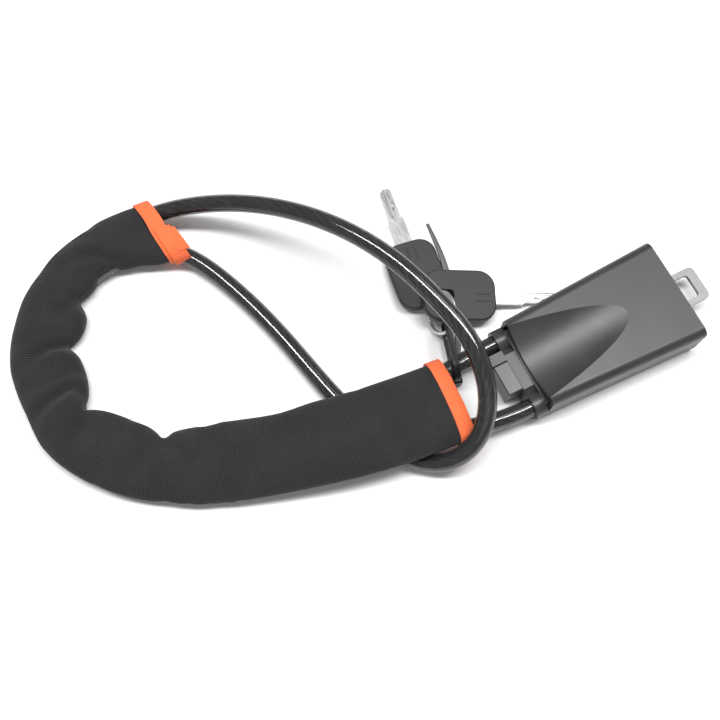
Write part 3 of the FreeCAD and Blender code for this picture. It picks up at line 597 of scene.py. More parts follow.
@dataclass
class LockCable:
    """One sheathed wire rope with both ends in the head."""

    finishes: Finishes
    radius: float = 5.0 * MM
    real_length: float = 1.29
    strands: int = 6
    strand_radius: float = 1.42 * MM
    strand_orbit: float = 2.75 * MM
    lay: float = 46.0 * MM
    strand_step: float = 1.6 * MM
    strand_sides: int = 8
    route_mm: tuple[tuple[float, float, float], ...] = (
        (-48.4, 20, 11.5),
        (-66, 20, 11.5),
        (-86, 16.7, 14.3),
        (-110.5, 16, 18.2),
        (-137.5, 19, 19.3),
        (-169, 27, 15),
        (-198.5, 35.5, 10.5),
        (-226, 45, 6.8),
        (-251.5, 57, 6.2),
        (-270, 78.5, 6.2),
        (-277, 103, 6.2),
        (-271.5, 129, 6.2),
        (-255, 150.5, 6.2),
        (-232, 162, 7.0),
        (-208.5, 161.5, 9.2),
        (-190, 156.5, 8.8),
        (-177, 143.5, 7),
        (-167.5, 124.5, 5.2),
        (-158.5, 100, 5),
        (-151.5, 74, 5),
        (-146, 48, 5),
        (-139, 22, 5),
        (-131, -1, 5),
        (-118.5, -20, 6),
        (-101.5, -29, 14.5),
        (-84, -23.5, 28),
        (-73.5, -6, 41),
        (-70.5, 19, 48),
        (-77, 47, 50.5),
        (-87, 79.5, 50.5),
        (-105.5, 112, 47),
        (-129.5, 141, 37),
        (-155, 162.5, 24),
        (-180, 176, 13.5),
        (-207, 179.5, 9.6),
        (-234.5, 174.5, 6.8),
        (-261.5, 159, 6.2),
        (-282, 133.5, 6.2),
        (-288, 103, 6.2),
        (-279.5, 72.5, 6.2),
        (-259.5, 47, 6.2),
        (-234, 29, 6.8),
        (-205.5, 16.5, 10.5),
        (-175, 6, 15),
        (-142.5, -4, 19.3),
        (-113.5, -11, 18.2),
        (-88, -15, 14.3),
        (-66, -20, 11.5),
        (-48.4, -20, 11.5),
    )

    @property
    def route(self) -> list[Vector]:
        """The route's control points in metres."""
        return [Vector(point) * MM for point in self.route_mm]

    def build_sheath(self) -> bpy.types.Object:
        """Build the sheath as a curve."""
        curve = make_spline("cable_sheath_vinyl", self.route, self.radius, order=4)
        curve.materials.append(self.finishes.sheath)
        piece = bpy.data.objects.new("cable_sheath_vinyl", curve)
        bpy.context.collection.objects.link(piece)
        return claim(piece, Body.HEAD, Slot.SHEATH, "cable_sheath")

    def build_rope(self, track: Track) -> bpy.types.Object:
        """Build the rope's core and its twisted strands.

        Args:
            track: the cable's centre line.

        Returns:
            The rope.
        """
        steps = round(track.length / self.strand_step)
        side, _ = level_frame(track.at(0)[1])
        frames = []
        for k in range(steps + 1):
            point, direction = track.smooth_at(track.length * k / steps, 2 * MM)
            side = (side - direction * side.dot(direction)).normalized()
            frames.append((point, side.copy(), direction.cross(side)))
        rope = bmesh.new()
        for strand in range(self.strands + 1):
            orbit = 0.0 if strand == self.strands else self.strand_orbit
            phase = 2 * math.pi * strand / self.strands

            def place(u: float, v: float, orbit: float = orbit, phase: float = phase) -> Vector:
                k = min(round(u * steps), steps)
                point, across, up = frames[k]
                turn = phase + 2 * math.pi * u * track.length / self.lay
                centre = point + orbit * (across * math.cos(turn) + up * math.sin(turn))
                angle = turn + 2 * math.pi * v
                return centre + self.strand_radius * (across * math.cos(angle) + up * math.sin(angle))

            tube = wrap_grid(steps, self.strand_sides, place, True, (track.length, 1.0))
            mesh = bpy.data.meshes.new("strand")
            tube.to_mesh(mesh)
            tube.free()
            rope.from_mesh(mesh)
            bpy.data.meshes.remove(mesh)
        bmesh.ops.holes_fill(rope, edges=rope.edges, sides=self.strand_sides)
        piece = finish_mesh(rope, "cable_wire_rope", self.finishes.rope)
        return claim(piece, Body.HEAD, Slot.ROPE, "cable_core")

    def build(self) -> bpy.types.Object:
        """Build the cable and log its length.

        Returns:
            The sheath.
        """
        track = Track(spline_line(self.route, order=4))
        sheath = self.build_sheath()
        rope = self.build_rope(track)
        tuple(self.route[0])
        LOG.info("cable: %.3f m along its centre line", track.length)
        return sheath


# ---------------------------------------------------------------- sleeve


def profile(knots: Sequence[tuple[float, float]], where: float) -> float:
    """Give a smooth value between knots.

    Args:
        knots: places and values, in order of place.
        where: the place.

    Returns:
        The value there, held at both ends.
    """
    if where <= knots[0][0]:
        return knots[0][1]
    for (start, low), (end, high) in zip(knots, knots[1:]):
        if where <= end:
            share = (where - start) / (end - start)
            return low + (high - low) * share * share * (3 - 2 * share)
    return knots[-1][1]


@dataclass(frozen=True)
class Fold:
    """A crease pressed into the top of the sleeve, in mm along it and across it."""

    line: tuple[tuple[float, float], ...]
    depth: float
    width: float
    valley_depth: float = 1.25
    shoulder_height: float = 0.5
    shoulder_from: float = 2.6
    shoulder_width: float = 1.6
    fade_reach: float = 4.0

    def press(self, along: float, across: float) -> float:
        """Give how far the crease moves the cloth at a place, in mm, negative inwards."""
        place = Vector((along, across))
        nearest = 1e9
        for first, second in zip(self.line, self.line[1:]):
            start, run = Vector(first), Vector(second) - Vector(first)
            part = min(max((place - start).dot(run) / run.length_squared, 0.0), 1.0)
            nearest = min(nearest, (start + run * part - place).length)
        from_end = (place - Vector(self.line[-1])).length
        fade = 1 - math.exp(-((from_end / (self.fade_reach * self.width)) ** 2))
        valley = math.exp(-((nearest / self.width) ** 2))
        past = nearest - self.shoulder_from * self.width
        shoulder = math.exp(-((past / (self.shoulder_width * self.width)) ** 2))
        return self.depth * fade * (self.shoulder_height * shoulder - self.valley_depth * valley)


@dataclass
class Sleeve:
    """A woven sleeve over both strands, bound at each end with orange tape."""

    finishes: Finishes
    route_mm: tuple[tuple[float, float, float], ...] = (
        (-86.5, 1, 14),
        (-112, 2.5, 18.2),
        (-140, 7.5, 19.3),
        (-172, 16.5, 15),
        (-202, 26, 10.5),
        (-230, 37, 8.5),
        (-254, 53, 8.3),
        (-272, 76, 8.3),
        (-279, 103, 8.3),
        (-273, 130, 8.3),
        (-256, 153, 8.3),
        (-232, 167, 8.6),
        (-210, 170.5, 9.4),
        (-190, 167.5, 10.6),
    )
    half_height: float = 8.0 * MM
    girth: float = 0.098
    cloth_thick: float = 1.1 * MM
    tape_width: float = 8.5 * MM
    tape_thick: float = 1.0 * MM
    tape_lift: float = 0.75
    lap_lift: float = 2.3
    pucker: float = 0.35 * MM
    outer_mm: tuple[tuple[float, float], ...] = (
        (0, 22.3),
        (80, 23.1),
        (125, 23.0),
        (160, 20.6),
        (215, 20.4),
        (234, 17.9),
        (262, 20.7),
        (284, 20.5),
        (306, 18.6),
        (358, 17.9),
    )
    inner_mm: tuple[tuple[float, float], ...] = (
        (0, 23.8),
        (52, 23.6),
        (72, 22.0),
        (98, 19.6),
        (124, 20.2),
        (152, 18.0),
        (188, 17.6),
        (208, 16.4),
        (242, 18.6),
        (254, 18.2),
        (284, 17.6),
        (302, 11.6),
        (320, 9.4),
        (338, 15.5),
        (358, 20.4),
    )
    pinches_mm: tuple[tuple[float, float, float], ...] = (
        (163, 7.0, 7.0),
        (217, 9.0, 7.5),
        (264, 8.5, 6.0),
        (295, 5.5, 6.0),
        (52, 1.2, 10),
    )
    folds: tuple[Fold, ...] = (
        Fold(((264, -17), (262.6, -11), (261, -3), (258, 3), (255, 10), (253, 15)), 3.4, 2.1),
        Fold(((222, -15), (232, -11), (231, -3), (230, 6), (229, 14), (229, 20)), 3.0, 2.1),
        Fold(((218, -15), (215, -8), (210, -5), (208, 1), (210, 6)), 2.4, 2.4),
        Fold(((164, -18), (164, -11), (157, -7), (150, -4), (146, 1), (145, 9)), 2.6, 2.4),
        Fold(((336, -14), (329, -10), (323, -1), (315, 5), (306, 7), (298, 6)), 2.2, 2.4),
        Fold(((297, -16), (294, -11), (288, -8), (283, -1), (281, 6)), 2.3, 2.2),
        Fold(((176, -15), (172, -8), (162, -6), (152, -10)), 1.5, 2.4),
        Fold(((122, -18), (118, -8), (120, 0), (112, 8)), 0.9, 3.2),
        Fold(((192, 20), (190, 10), (184, 3)), 1.5, 2.8),
        Fold(((283, -4), (280, -13), (273, -18)), 1.6, 2.6),
        Fold(((246, 19), (242, 12), (243, 4)), 1.3, 2.8),
        Fold(((60, 22), (58, 12), (63, 2)), 0.6, 4.0),
    )
    least_height: float = 4.6 * MM
    end_slant: float = 12.0 * MM
    end_run_out: float = 40.0 * MM
    slant_from: float = 300.0 * MM
    rows: int = 204
    sides: int = 60
    squareness: float = 2.5
    pinch_sharpness: float = 1.25
    bend_reach: float = 7.0 * MM
    drift_mm: float = 2.6
    ripple_mm: float = 0.9
    held_end: float = 34.0 * MM
    held_below: float = 1.5 * MM
    floor_gap: float = 0.6 * MM
    swell_frames: int = 14
    swell_share: float = 0.035
    swell_cap: float = 1.2 * MM

    def __post_init__(self) -> None:
        """Lay out the sleeve's centre line."""
        line = spline_line([Vector(point) * MM for point in self.route_mm])
        self.length = Track(line).length
        run_out = (line[-1] - line[-2]).normalized() * self.end_run_out
        self.track = Track([*line, line[-1] + run_out])

    def section(self, distance: float, turn: float, grow: float = 0.0, creased: bool = True) -> Vector:
        """Give a point of the sleeve's surface.

        Args:
            distance: metres along the sleeve.
            turn: the angle round it, 0 at the outside of the bend.
            grow: metres outside the cloth.
            creased: False for the plain oval.

        Returns:
            The point.
        """
        cosine, sine = math.cos(turn), math.sin(turn)
        late = min(max((distance - self.slant_from) / (self.length - self.slant_from), 0.0), 1.0)
        distance += self.end_slant * late * (0.5 - 0.5 * cosine)
        centre, direction = self.track.smooth_at(distance, self.bend_reach)
        outwards, up = level_frame(direction)
        along = distance / MM
        half = profile(self.outer_mm if cosine > 0 else self.inner_mm, along)
        if cosine < 0 and creased:
            for place, depth, wide in self.pinches_mm:
                half -= depth * math.exp(-(abs((along - place) / wide) ** self.pinch_sharpness))
        square = 2 / self.squareness
        across = math.copysign(abs(cosine) ** square, cosine) * half
        height = math.copysign(abs(sine) ** square, sine) * self.half_height / MM
        if creased and sine > 0:
            top = abs(sine) ** 0.5
            height += top * sum(fold.press(along, across) for fold in self.folds)
            slack = profile(((110, 0.35), (170, 1.0)), along)
            drift = noise.noise(Vector((along * 0.055, across * 0.05, 3.1)))
            ripple = noise.noise(Vector((along * 0.14, across * 0.07, 8.3)))
            height += top * slack * (self.drift_mm * drift + self.ripple_mm * ripple)
            height = max(height, self.least_height / MM * top)
        point = centre + outwards * across * MM + up * height * MM
        if grow:
            point += (outwards * cosine + up * sine) * grow
        return point

    def swell(self, piece: bpy.types.Object) -> None:
        """Let the cloth grow a little between its held ends, so that it wrinkles, and keep the result.

        Args:
            piece: the sleeve, a single wall.
        """
        mesh = piece.data
        held = piece.vertex_groups.new(name="held")
        start, finish = self.track.at(0.0)[0], self.track.at(self.length)[0]
        rest = [vert.co.copy() for vert in mesh.vertices]
        for k, place in enumerate(rest):
            near = min((place - start).length, (place - finish).length)
            low = place.z < self.held_below
            tight = profile(((90, 1.0), (150, 0.0)), (place - start).length / MM)
            held.add([k], 1.0 if near < self.held_end or low else tight, "REPLACE")
        LOG.info("sleeve: swelling %d points", len(rest))
        cloth = piece.modifiers.new("swell", "CLOTH")
        settings = cloth.settings
        settings.quality = 5
        settings.mass = 0.2
        settings.tension_stiffness = settings.compression_stiffness = 20
        settings.shear_stiffness = 8
        settings.bending_stiffness = 0.4
        settings.vertex_group_mass = held.name
        settings.shrink_min = -self.swell_share
        settings.use_pressure = True
        settings.uniform_pressure_force = 1.0
        settings.effector_weights.gravity = 0.0
        cloth.collision_settings.use_collision = False
        cloth.point_cache.frame_end = self.swell_frames
        scene = bpy.context.scene
        for step in range(1, self.swell_frames + 1):
            scene.frame_set(step)
        shaped = piece.evaluated_get(bpy.context.evaluated_depsgraph_get()).to_mesh()
        moved = [vert.co.copy() for vert in shaped.vertices]
        piece.modifiers.remove(cloth)
        scene.frame_set(1)
        for vert, place, goal in zip(mesh.vertices, rest, moved):
            shift = goal - place
            if shift.length > self.swell_cap:
                shift *= self.swell_cap / shift.length
            vert.co = place + shift
            vert.co.z = max(vert.co.z, self.floor_gap)
        mesh.update()

    def build_cloth(self) -> bpy.types.Object:
        """Build the sleeve's cloth.

        Returns:
            The sleeve.
        """

        def place(u: float, v: float) -> Vector:
            return self.section(u * self.length, 2 * math.pi * v)

        sleeve = wrap_grid(self.rows, self.sides, place, True, (self.length, self.girth))
        piece = finish_mesh(sleeve, "sleeve_woven_cloth", self.finishes.cloth)
        self.swell(piece)
        soft = bmesh.new()
        soft.from_mesh(piece.data)
        every_axis = {"use_axis_x": True, "use_axis_y": True, "use_axis_z": True}
        for _ in range(2):
            bmesh.ops.smooth_vert(soft, verts=soft.verts, factor=0.4, **every_axis)
        soft.to_mesh(piece.data)
        soft.free()
        wall = piece.modifiers.new("cloth_thickness", "SOLIDIFY")
        wall.thickness = self.cloth_thick
        wall.offset = -1.0
        smooth = piece.modifiers.new("cloth_smoothing", "SUBSURF")
        smooth.levels = smooth.render_levels = 1
        return claim(piece, Body.HEAD, Slot.SLEEVE, "sleeve")

    def build_tape(
        self, name: str, start: float, *nodes: str, arc: tuple[float, float] = (0, 1)
    ) -> bpy.types.Object:
        """Build the tape folded over one end of the sleeve.

        Args:
            name: the piece's name.
            start: metres along the sleeve of the tape's first edge.
            nodes: the CAD node that it stands for, if any.
            arc: the share of the way round where it starts and ends.

        Returns:
            The tape.
        """
        whole = arc == (0, 1)

        def place(u: float, v: float) -> Vector:
            pucker = self.pucker * noise.noise(Vector((u * 2.0, v * 23.0, start * 40)))
            grow = self.tape_thick * self.tape_lift + pucker if whole else self.tape_thick * self.lap_lift
            turn = 2 * math.pi * (arc[0] + (arc[1] - arc[0]) * v)
            return self.section(start + u * self.tape_width, turn, grow, False)

        tape = wrap_grid(8, 96, place, whole, (self.tape_width, self.girth * (arc[1] - arc[0])))
        piece = finish_mesh(tape, name, self.finishes.tape)
        wall = piece.modifiers.new("tape_thickness", "SOLIDIFY")
        wall.thickness = self.tape_thick
        wall.offset = 0.0
        edge = piece.modifiers.new("tape_edges", "BEVEL")
        edge.width = 0.3 * MM
        edge.segments = 2
        edge.limit_method = "ANGLE"
        return claim(piece, Body.HEAD, Slot.BINDING, *nodes)

    def build_flap(self, name: str, start: float, turn: float, reach: float, lean: float) -> bpy.types.Object:
        """Build the loose end of a tape, folded under the end of the sleeve.

        Args:
            name: the piece's name.
            start: metres along the sleeve of the flap's near edge.
            turn: the angle round the sleeve where it starts.
            reach: how far it goes round, in radians.
            lean: how far it stands off at its end, in metres.

        Returns:
            The flap.
        """

        def place(u: float, v: float) -> Vector:
            stand = 1.6 * MM + lean * v * v
            skew = 0.35 * self.tape_width * v
            along = start + u * self.tape_width * (1 - 0.25 * v) + skew
            return self.section(along, turn + reach * v, stand, False)

        flap = wrap_grid(6, 16, place, False, (self.tape_width, 0.012))
        piece = finish_mesh(flap, name, self.finishes.tape)
        wall = piece.modifiers.new("flap_thickness", "SOLIDIFY")
        wall.thickness = self.tape_thick
        wall.offset = 0.0
        smooth = piece.modifiers.new("flap_smoothing", "SUBSURF")
        smooth.levels = smooth.render_levels = 1
        return claim(piece, Body.HEAD, Slot.BINDING)

    def build(self) -> None:
        cloth = self.build_cloth()
        last = self.length - self.tape_width
        tapes = [
            self.build_tape("binding_tape_right", -0.4 * MM, "sleeve_binding_right"),
            self.build_tape("binding_tape_left", last + 0.4 * MM, "sleeve_binding_left"),
            self.build_tape("binding_lap_left", last + 2.6 * MM, arc=(0.27, 0.62)),
            self.build_flap("binding_flap_right", -3.0 * MM, 0.35, -0.75, 1.0 * MM),
            self.build_flap("binding_flap_left", last + 4.5 * MM, 1.75, 0.8, 1.5 * MM),
        ]


# ---------------------------------------------------------------- keys, ring and tie


def rounded_outline(
    half_x: float, half_y: float, corner: float, inset: float, per_corner: int = 12
) -> list[Vector]:
    """Give the points of a rectangle with round corners, once round.

    Args:
        half_x: half its length.
        half_y: half its width.
        corner: its corners' radius.
        inset: how far every side is moved inwards.
        per_corner: the points on each corner.

    Returns:
        The points in the plane z = 0, the same number at any inset.
    """
    radius = max(corner - inset, 0.05 * MM)
    reach_x, reach_y = half_x - inset - radius, half_y - inset - radius
    points = []
    for k, (sign_x, sign_y) in enumerate(((1, 1), (-1, 1), (-1, -1), (1, -1))):
        for step in range(per_corner):
            turn = math.pi / 2 * (k + step / (per_corner - 1))
            arm = Vector((math.cos(turn), math.sin(turn), 0)) * radius
            points.append(Vector((sign_x * reach_x, sign_y * reach_y, 0)) + arm)
    return points


def loop_skin(loops: Sequence[Sequence[Vector]]) -> bmesh.types.BMesh:
    """Join closed loops of equal size into a skin that comes back to the first one.

    Args:
        loops: the loops, in order.

    Returns:
        The closed skin.
    """
    rows, count = len(loops), len(loops[0])

    def place(u: float, v: float) -> Vector:
        return Vector(loops[round(u * rows) % rows][round(v * count) % count])

    skin = wrap_grid(rows, count, place, True, (1, 1))
    bmesh.ops.dissolve_degenerate(skin, edges=skin.edges, dist=0.001 * MM)
    return skin


@dataclass
class Key:
    """A flat steel blade with milled grooves in a moulded bow."""

    finishes: Finishes
    name: str
    root_mm: tuple[float, float, float]
    heading: float
    pitch: float
    bow_length: float = 41.5 * MM
    bow_width: float = 30.0 * MM
    bow_thick: float = 5.0 * MM
    bow_corner: float = 9.5 * MM
    hole_length: float = 12.0 * MM
    hole_width: float = 5.4 * MM
    hole_margin: float = 5.4 * MM
    hole_corner: float = 1.8 * MM
    edge: float = 1.2 * MM
    blade_length: float = 37.5 * MM
    blade_root: float = 4.6 * MM
    blade_tip: float = 3.3 * MM
    blade_thick: float = 2.2 * MM
    blade_step: float = 16.0 * MM
    blade_in_bow: float = 6.0 * MM
    step_run: float = 1.3 * MM
    tip_chamfer: float = 2.0 * MM
    chamfer_slope: float = 0.8
    groove_depth: float = 0.75 * MM
    groove_half: float = 0.55 * MM
    wavy_half: float = 0.42 * MM

    @property
    def place(self) -> Matrix:
        """The blade's root and heading in the lock's frame."""
        turn = Matrix.Rotation(math.radians(self.heading), 4, "Z")
        tip_down = Matrix.Rotation(math.radians(self.pitch), 4, "Y")
        return Matrix.Translation(Vector(self.root_mm) * MM) @ turn @ tip_down

    def half_width(self, x: float) -> float:
        """Give half the blade's width at a distance from the bow."""
        step = min(max((x - self.blade_step) / self.step_run, 0), 1)
        half = self.blade_root + (self.blade_tip - self.blade_root) * step
        from_tip = self.blade_length - x
        return half - max(self.tip_chamfer - from_tip, 0) * self.chamfer_slope

    def groove(self, x: float, y: float) -> float:
        """Give how deep the milling is at a place on the blade's upper face."""
        start = self.blade_step + 1.5 * MM
        if x < start:
            return 0.0
        wave = 0.55 * MM * math.sin((x - start) / (2.2 * MM)) * min(1, (x - start) / (9 * MM))
        straight = math.exp(-(((y - 1.75 * MM) / self.groove_half) ** 4))
        run_in = min(1, max(0, (x - start) / (7 * MM) - 0.7) * 3)
        wavy = math.exp(-(((y + 1.0 * MM - wave) / self.wavy_half) ** 4)) * run_in
        return self.groove_depth * max(straight, 0.8 * wavy)

    def build_blade(self) -> bpy.types.Object:
        """Build the blade."""
        middle = self.bow_thick / 2
        half_thick = self.blade_thick / 2
        rows = 96
        top = [-1 + 2 * k / 40 for k in range(41)]
        ring = [(y, 1) for y in top] + [(1, 0.5), (1, -0.5)]
        ring += [(-y, -1) for y in top[::5]] + [(-1, -0.5), (-1, 0.5)]

        def place(u: float, v: float) -> Vector:
            x = -self.blade_in_bow + (self.blade_length + self.blade_in_bow) * u
            share, level = ring[round(v * len(ring)) % len(ring)]
            half = self.half_width(x)
            at_edge = abs(share) > 0.97 and abs(level) == 1
            y = share * half * (0.985 if at_edge else 1)
            z = level * half_thick
            if level == 1 and not at_edge:
                z -= self.groove(x, y)
            return Vector((x, y, middle + z))

        blade = wrap_grid(rows, len(ring), place, True, (self.blade_length, 1))
        bmesh.ops.holes_fill(blade, edges=blade.edges, sides=len(ring))
        blade.transform(self.place)
        piece = finish_mesh(blade, f"{self.name}_blade_milled", self.finishes.key_steel, False)
        return claim(piece, Body.KEYS, Slot.KEY_STEEL, f"{self.name}_blade")

    def build_bow(self) -> bpy.types.Object:
        """Build the moulded bow, with its hole and rounded edges."""
        half_x, half_y = self.bow_length / 2, self.bow_width / 2
        hole_x = self.hole_margin + self.hole_length / 2 - half_x
        loops = []
        steps = 5
        for upper in (True, False):
            for k in range(steps + 1):
                turn = math.pi / 2 * (k / steps if upper else 1 - k / steps)
                inset = self.edge * (1 - math.sin(turn))
                height = self.edge * (1 - math.cos(turn))
                level = self.bow_thick - height if upper else height
                outline = rounded_outline(half_x, half_y, self.bow_corner, inset)
                loops.append([point + Vector((0, 0, level)) for point in outline])
        rim = ((0.0, 0.4), (0.12, 0.12), (0.4, 0.0))
        hole = [(rise * MM, wider) for rise, wider in rim]
        hole += [(self.bow_thick - rise * MM, wider) for rise, wider in reversed(rim)]
        halves = self.hole_length / 2, self.hole_width / 2
        for height, wider in hole:
            outline = rounded_outline(*halves, self.hole_corner, -wider * MM)
            loops.append([point + Vector((hole_x, 0, height)) for point in outline])
        bow = loop_skin(loops)
        bow.transform(self.place @ Matrix.Translation((-half_x, 0, 0)))
        piece = finish_mesh(bow, f"{self.name}_bow_moulded", self.finishes.key_plastic, False)
        return claim(piece, Body.KEYS, Slot.KEY_PLASTIC, f"{self.name}_bow")

    def build_lines(self) -> bpy.types.Object:
        """Build the two short raised lines near the blade."""
        lines = bmesh.new()
        for side, length in ((-1, 9.0 * MM), (1, 7.5 * MM)):
            made = bmesh.ops.create_cube(lines, size=1)["verts"]
            bmesh.ops.scale(lines, vec=(length, 0.8 * MM, 0.5 * MM), verts=made)
            offset = (-3.2 * MM - length / 2, side * 2.1 * MM - 1.5 * MM, self.bow_thick + 0.1 * MM)
            bmesh.ops.translate(lines, vec=offset, verts=made)
        bmesh.ops.bevel(
            lines, geom=lines.edges, offset=0.2 * MM, affect="EDGES", segments=2, profile=0.5, material=-1
        )
        lines.transform(self.place)
        piece = finish_mesh(lines, f"{self.name}_bow_lines", self.finishes.key_plastic, False)
        return claim(piece, Body.KEYS, Slot.KEY_PLASTIC)

    def build(self) -> None:
        """Build the key."""
        self.build_blade()
        self.build_bow()
        self.build_lines()


@dataclass
class SplitRing:
    """A flattened steel wire wound twice."""

    finishes: Finishes
    centre_mm: tuple[float, float, float] = (-68.9, 49.65, 11.1)
    axis: tuple[float, float, float] = (-0.83, 0.21, 0.52)
    radius: float = 11.55 * MM
    wire_wide: float = 0.95 * MM
    wire_half: float = 0.5 * MM
    turns: float = 2.0

    def build(self) -> bpy.types.Object:
        """Build the ring.

        Returns:
            The ring.
        """
        place = Matrix.Translation(Vector(self.centre_mm) * MM)
        place @= Vector(self.axis).to_track_quat("Z", "Y").to_matrix().to_4x4()

        def point(u: float, v: float) -> Vector:
            turn = 2 * math.pi * self.turns * u
            angle = 2 * math.pi * v
            outwards = Vector((math.cos(turn), math.sin(turn), 0))
            share = min(1.0, max(0.0, (u * self.turns - 0.94) / 0.12))
            lift = (share * share * (3 - 2 * share) - 0.5) * 2.1 * self.wire_half
            section = outwards * (self.wire_wide * math.cos(angle))
            return outwards * self.radius + section + Vector((0, 0, lift + self.wire_half * math.sin(angle)))

        ring = wrap_grid(240, 14, point, True, (1, 1))
        bmesh.ops.holes_fill(ring, edges=ring.edges, sides=14)
        ring.transform(place)
        piece = finish_mesh(ring, "split_ring_wire", self.finishes.key_steel)
        return claim(piece, Body.KEYS, Slot.KEY_STEEL, "key_ring")


@dataclass
class CableTie:
    """A nylon tie round the upper strand and the ring: a band, a ratchet head and a tapered tail."""

    finishes: Finishes
    place_mm: tuple[float, float, float] = (-77.7, 18.5, 13.1)
    turn: float = -17.0
    strand_radius: float = 7.0 * MM
    ring_end_mm: tuple[float, float, float] = (0.0, 18.5, -0.8)
    ring_end_radius: float = 7.4 * MM
    width: float = 3.4 * MM
    thick: float = 1.3 * MM
    flatness: float = 0.35
    tooth_pitch: float = 1.2 * MM
    tooth_depth: float = 0.35 * MM
    tip_share: float = 0.55
    taper: float = 26.0 * MM
    head_size: tuple[float, float, float] = (7.4 * MM, 6.4 * MM, 6.0 * MM)
    head_mm: tuple[float, float, float] = (0.0, -5.0, -8.6)
    tail_mm: tuple[tuple[float, float, float], ...] = (
        (-73.5, 21.5, 3.2),
        (-66.0, 33.0, 3.0),
        (-58.5, 50.0, 4.2),
        (-53.4, 70.0, 6.0),
        (-50.7, 84.0, 8.2),
        (-50.0, 101.0, 10.6),
    )

    @property
    def frame(self) -> Matrix:
        """The place of the band on the strand."""
        turn = Matrix.Rotation(math.radians(self.turn), 4, "Z")
        return Matrix.Translation(Vector(self.place_mm) * MM) @ turn

    def section(self, turn: float, width: float) -> tuple[float, float]:
        """Give a point of the strap's rounded section: its place across and through the strap."""
        across = math.copysign(abs(math.cos(turn)) ** self.flatness, math.cos(turn)) * width / 2
        through = math.copysign(abs(math.sin(turn)) ** self.flatness, math.sin(turn)) * self.thick / 2
        return across, through

    def build_band(self) -> bpy.types.Object:
        """Build the closed band."""
        end = Vector(self.ring_end_mm) * MM
        radii = (self.strand_radius + self.thick / 2, self.ring_end_radius + self.thick / 2)
        heading = math.atan2(end.z, end.y)
        tilt = math.acos((radii[0] - radii[1]) / end.length)
        belt = Track(self.belt_line(end, radii, heading - tilt, heading + tilt))

        def place(u: float, v: float) -> Vector:
            point, direction = belt.at(belt.length * (u % 1.0))
            across, through = self.section(2 * math.pi * v, self.width)
            return point + Vector((1, 0, 0)) * across + Vector((1, 0, 0)).cross(direction) * through

        band = wrap_grid(160, 20, place, True, (belt.length, self.width))
        band.transform(self.frame)
        piece = finish_mesh(band, "cable_tie_band", self.finishes.tie)
        return claim(piece, Body.HEAD, Slot.TIE, "cable_tie")

    def belt_line(self, end: Vector, radii: tuple[float, float], low: float, high: float) -> list[Vector]:
        """Give the closed line of a belt round the strand and the ring.

        Args:
            end: the ring end's middle.
            radii: the belt's radius round the strand and at the ring end.
            low: the turn where the ring end's arc starts.
            high: the turn where it ends.

        Returns:
            The line, with its first point repeated at the end.
        """
        count = 24
        line = []
        for k in range(count + 1):
            turn = low + (high - low) * k / count
            line.append(end + Vector((0, math.cos(turn), math.sin(turn))) * radii[1])
        for k in range(count + 1):
            turn = high + (2 * math.pi - high + low) * k / count
            line.append(Vector((0, math.cos(turn), math.sin(turn))) * radii[0])
        return line + [line[0]]

    def build_head(self) -> bpy.types.Object:
        """Build the ratchet head, with the strap's slot."""
        head = bmesh.new()
        bmesh.ops.create_cube(head, size=1)
        bmesh.ops.scale(head, vec=self.head_size, verts=head.verts)
        bmesh.ops.bevel(
            head, geom=head.edges[:], offset=0.7 * MM, affect="EDGES", segments=3, profile=0.5, material=-1
        )
        flats = [face for face in head.faces if abs(face.normal.z) > 0.99 and face.calc_area() > 8 * MM * MM]
        bmesh.ops.inset_individual(head, faces=flats, thickness=1.2 * MM)
        sunk = [vert for face in flats if face.normal.z > 0 for vert in face.verts]
        bmesh.ops.translate(head, vec=(0, 0, -0.9 * MM), verts=sunk)
        head.transform(self.frame @ Matrix.Translation(Vector(self.head_mm) * MM))
        piece = finish_mesh(head, "cable_tie_head", self.finishes.tie, False)
        return claim(piece, Body.HEAD, Slot.TIE)

    def build_tail(self) -> bpy.types.Object:
        """Build the strap's free end, with its teeth and its narrow tip."""
        track = Track(spline_line([Vector(point) * MM for point in self.tail_mm]))

        def place(u: float, v: float) -> Vector:
            distance = track.length * u
            point, direction = track.at(distance)
            from_tip = track.length - distance
            width = self.width * (self.tip_share + (1 - self.tip_share) * min(1.0, from_tip / self.taper))
            side, up = level_frame(direction)
            across, through = self.section(2 * math.pi * v, width)
            tooth = (distance / self.tooth_pitch) % 1.0
            if through < 0 and abs(across) < 0.3 * width:
                through += self.tooth_depth * tooth
            return point + side * across + up * through

        tail = wrap_grid(240, 24, place, True, (track.length, self.width))
        bmesh.ops.holes_fill(tail, edges=tail.edges, sides=24)
        piece = finish_mesh(tail, "cable_tie_tail", self.finishes.tie)
        return claim(piece, Body.HEAD, Slot.TIE)

    def build(self) -> None:
        """Build the tie."""
        self.build_band()
        self.build_head()
        self.build_tail()


# ---------------------------------------------------------------- materials of the CAD nodes


@dataclass
class PackedNodes:
    """The nodes of the frame that keep their CAD shape and get a better finish."""

    finishes: Finishes

    def dress(self) -> None:
        """Dress every node by its material slot."""
        by_slot = {
            "shell_plastic": self.finishes.shell,
            "casting": self.finishes.casting,
            "cap_plastic": self.finishes.cap,
            "tongue_steel": self.finishes.tongue,
            "steel": self.finishes.steel,
            "brass": self.finishes.brass,
            "glide": self.finishes.glide,
            "sheath": self.finishes.sheath,
            "rope": self.finishes.rope,
            "sleeve_fabric": self.finishes.cloth,
            "binding": self.finishes.tape,
            "key_steel": self.finishes.key_steel,
            "key_plastic": self.finishes.key_plastic,
            "tie_plastic": self.finishes.tie,
        }
        for part in frame["record"]["subparts"]:
            dress(bpy.data.objects[part["node"]], by_slot[part["material_slot"]])
            LOG.info("%s dressed as %s", part["node"], part["material_slot"])


# ---------------------------------------------------------------- studio


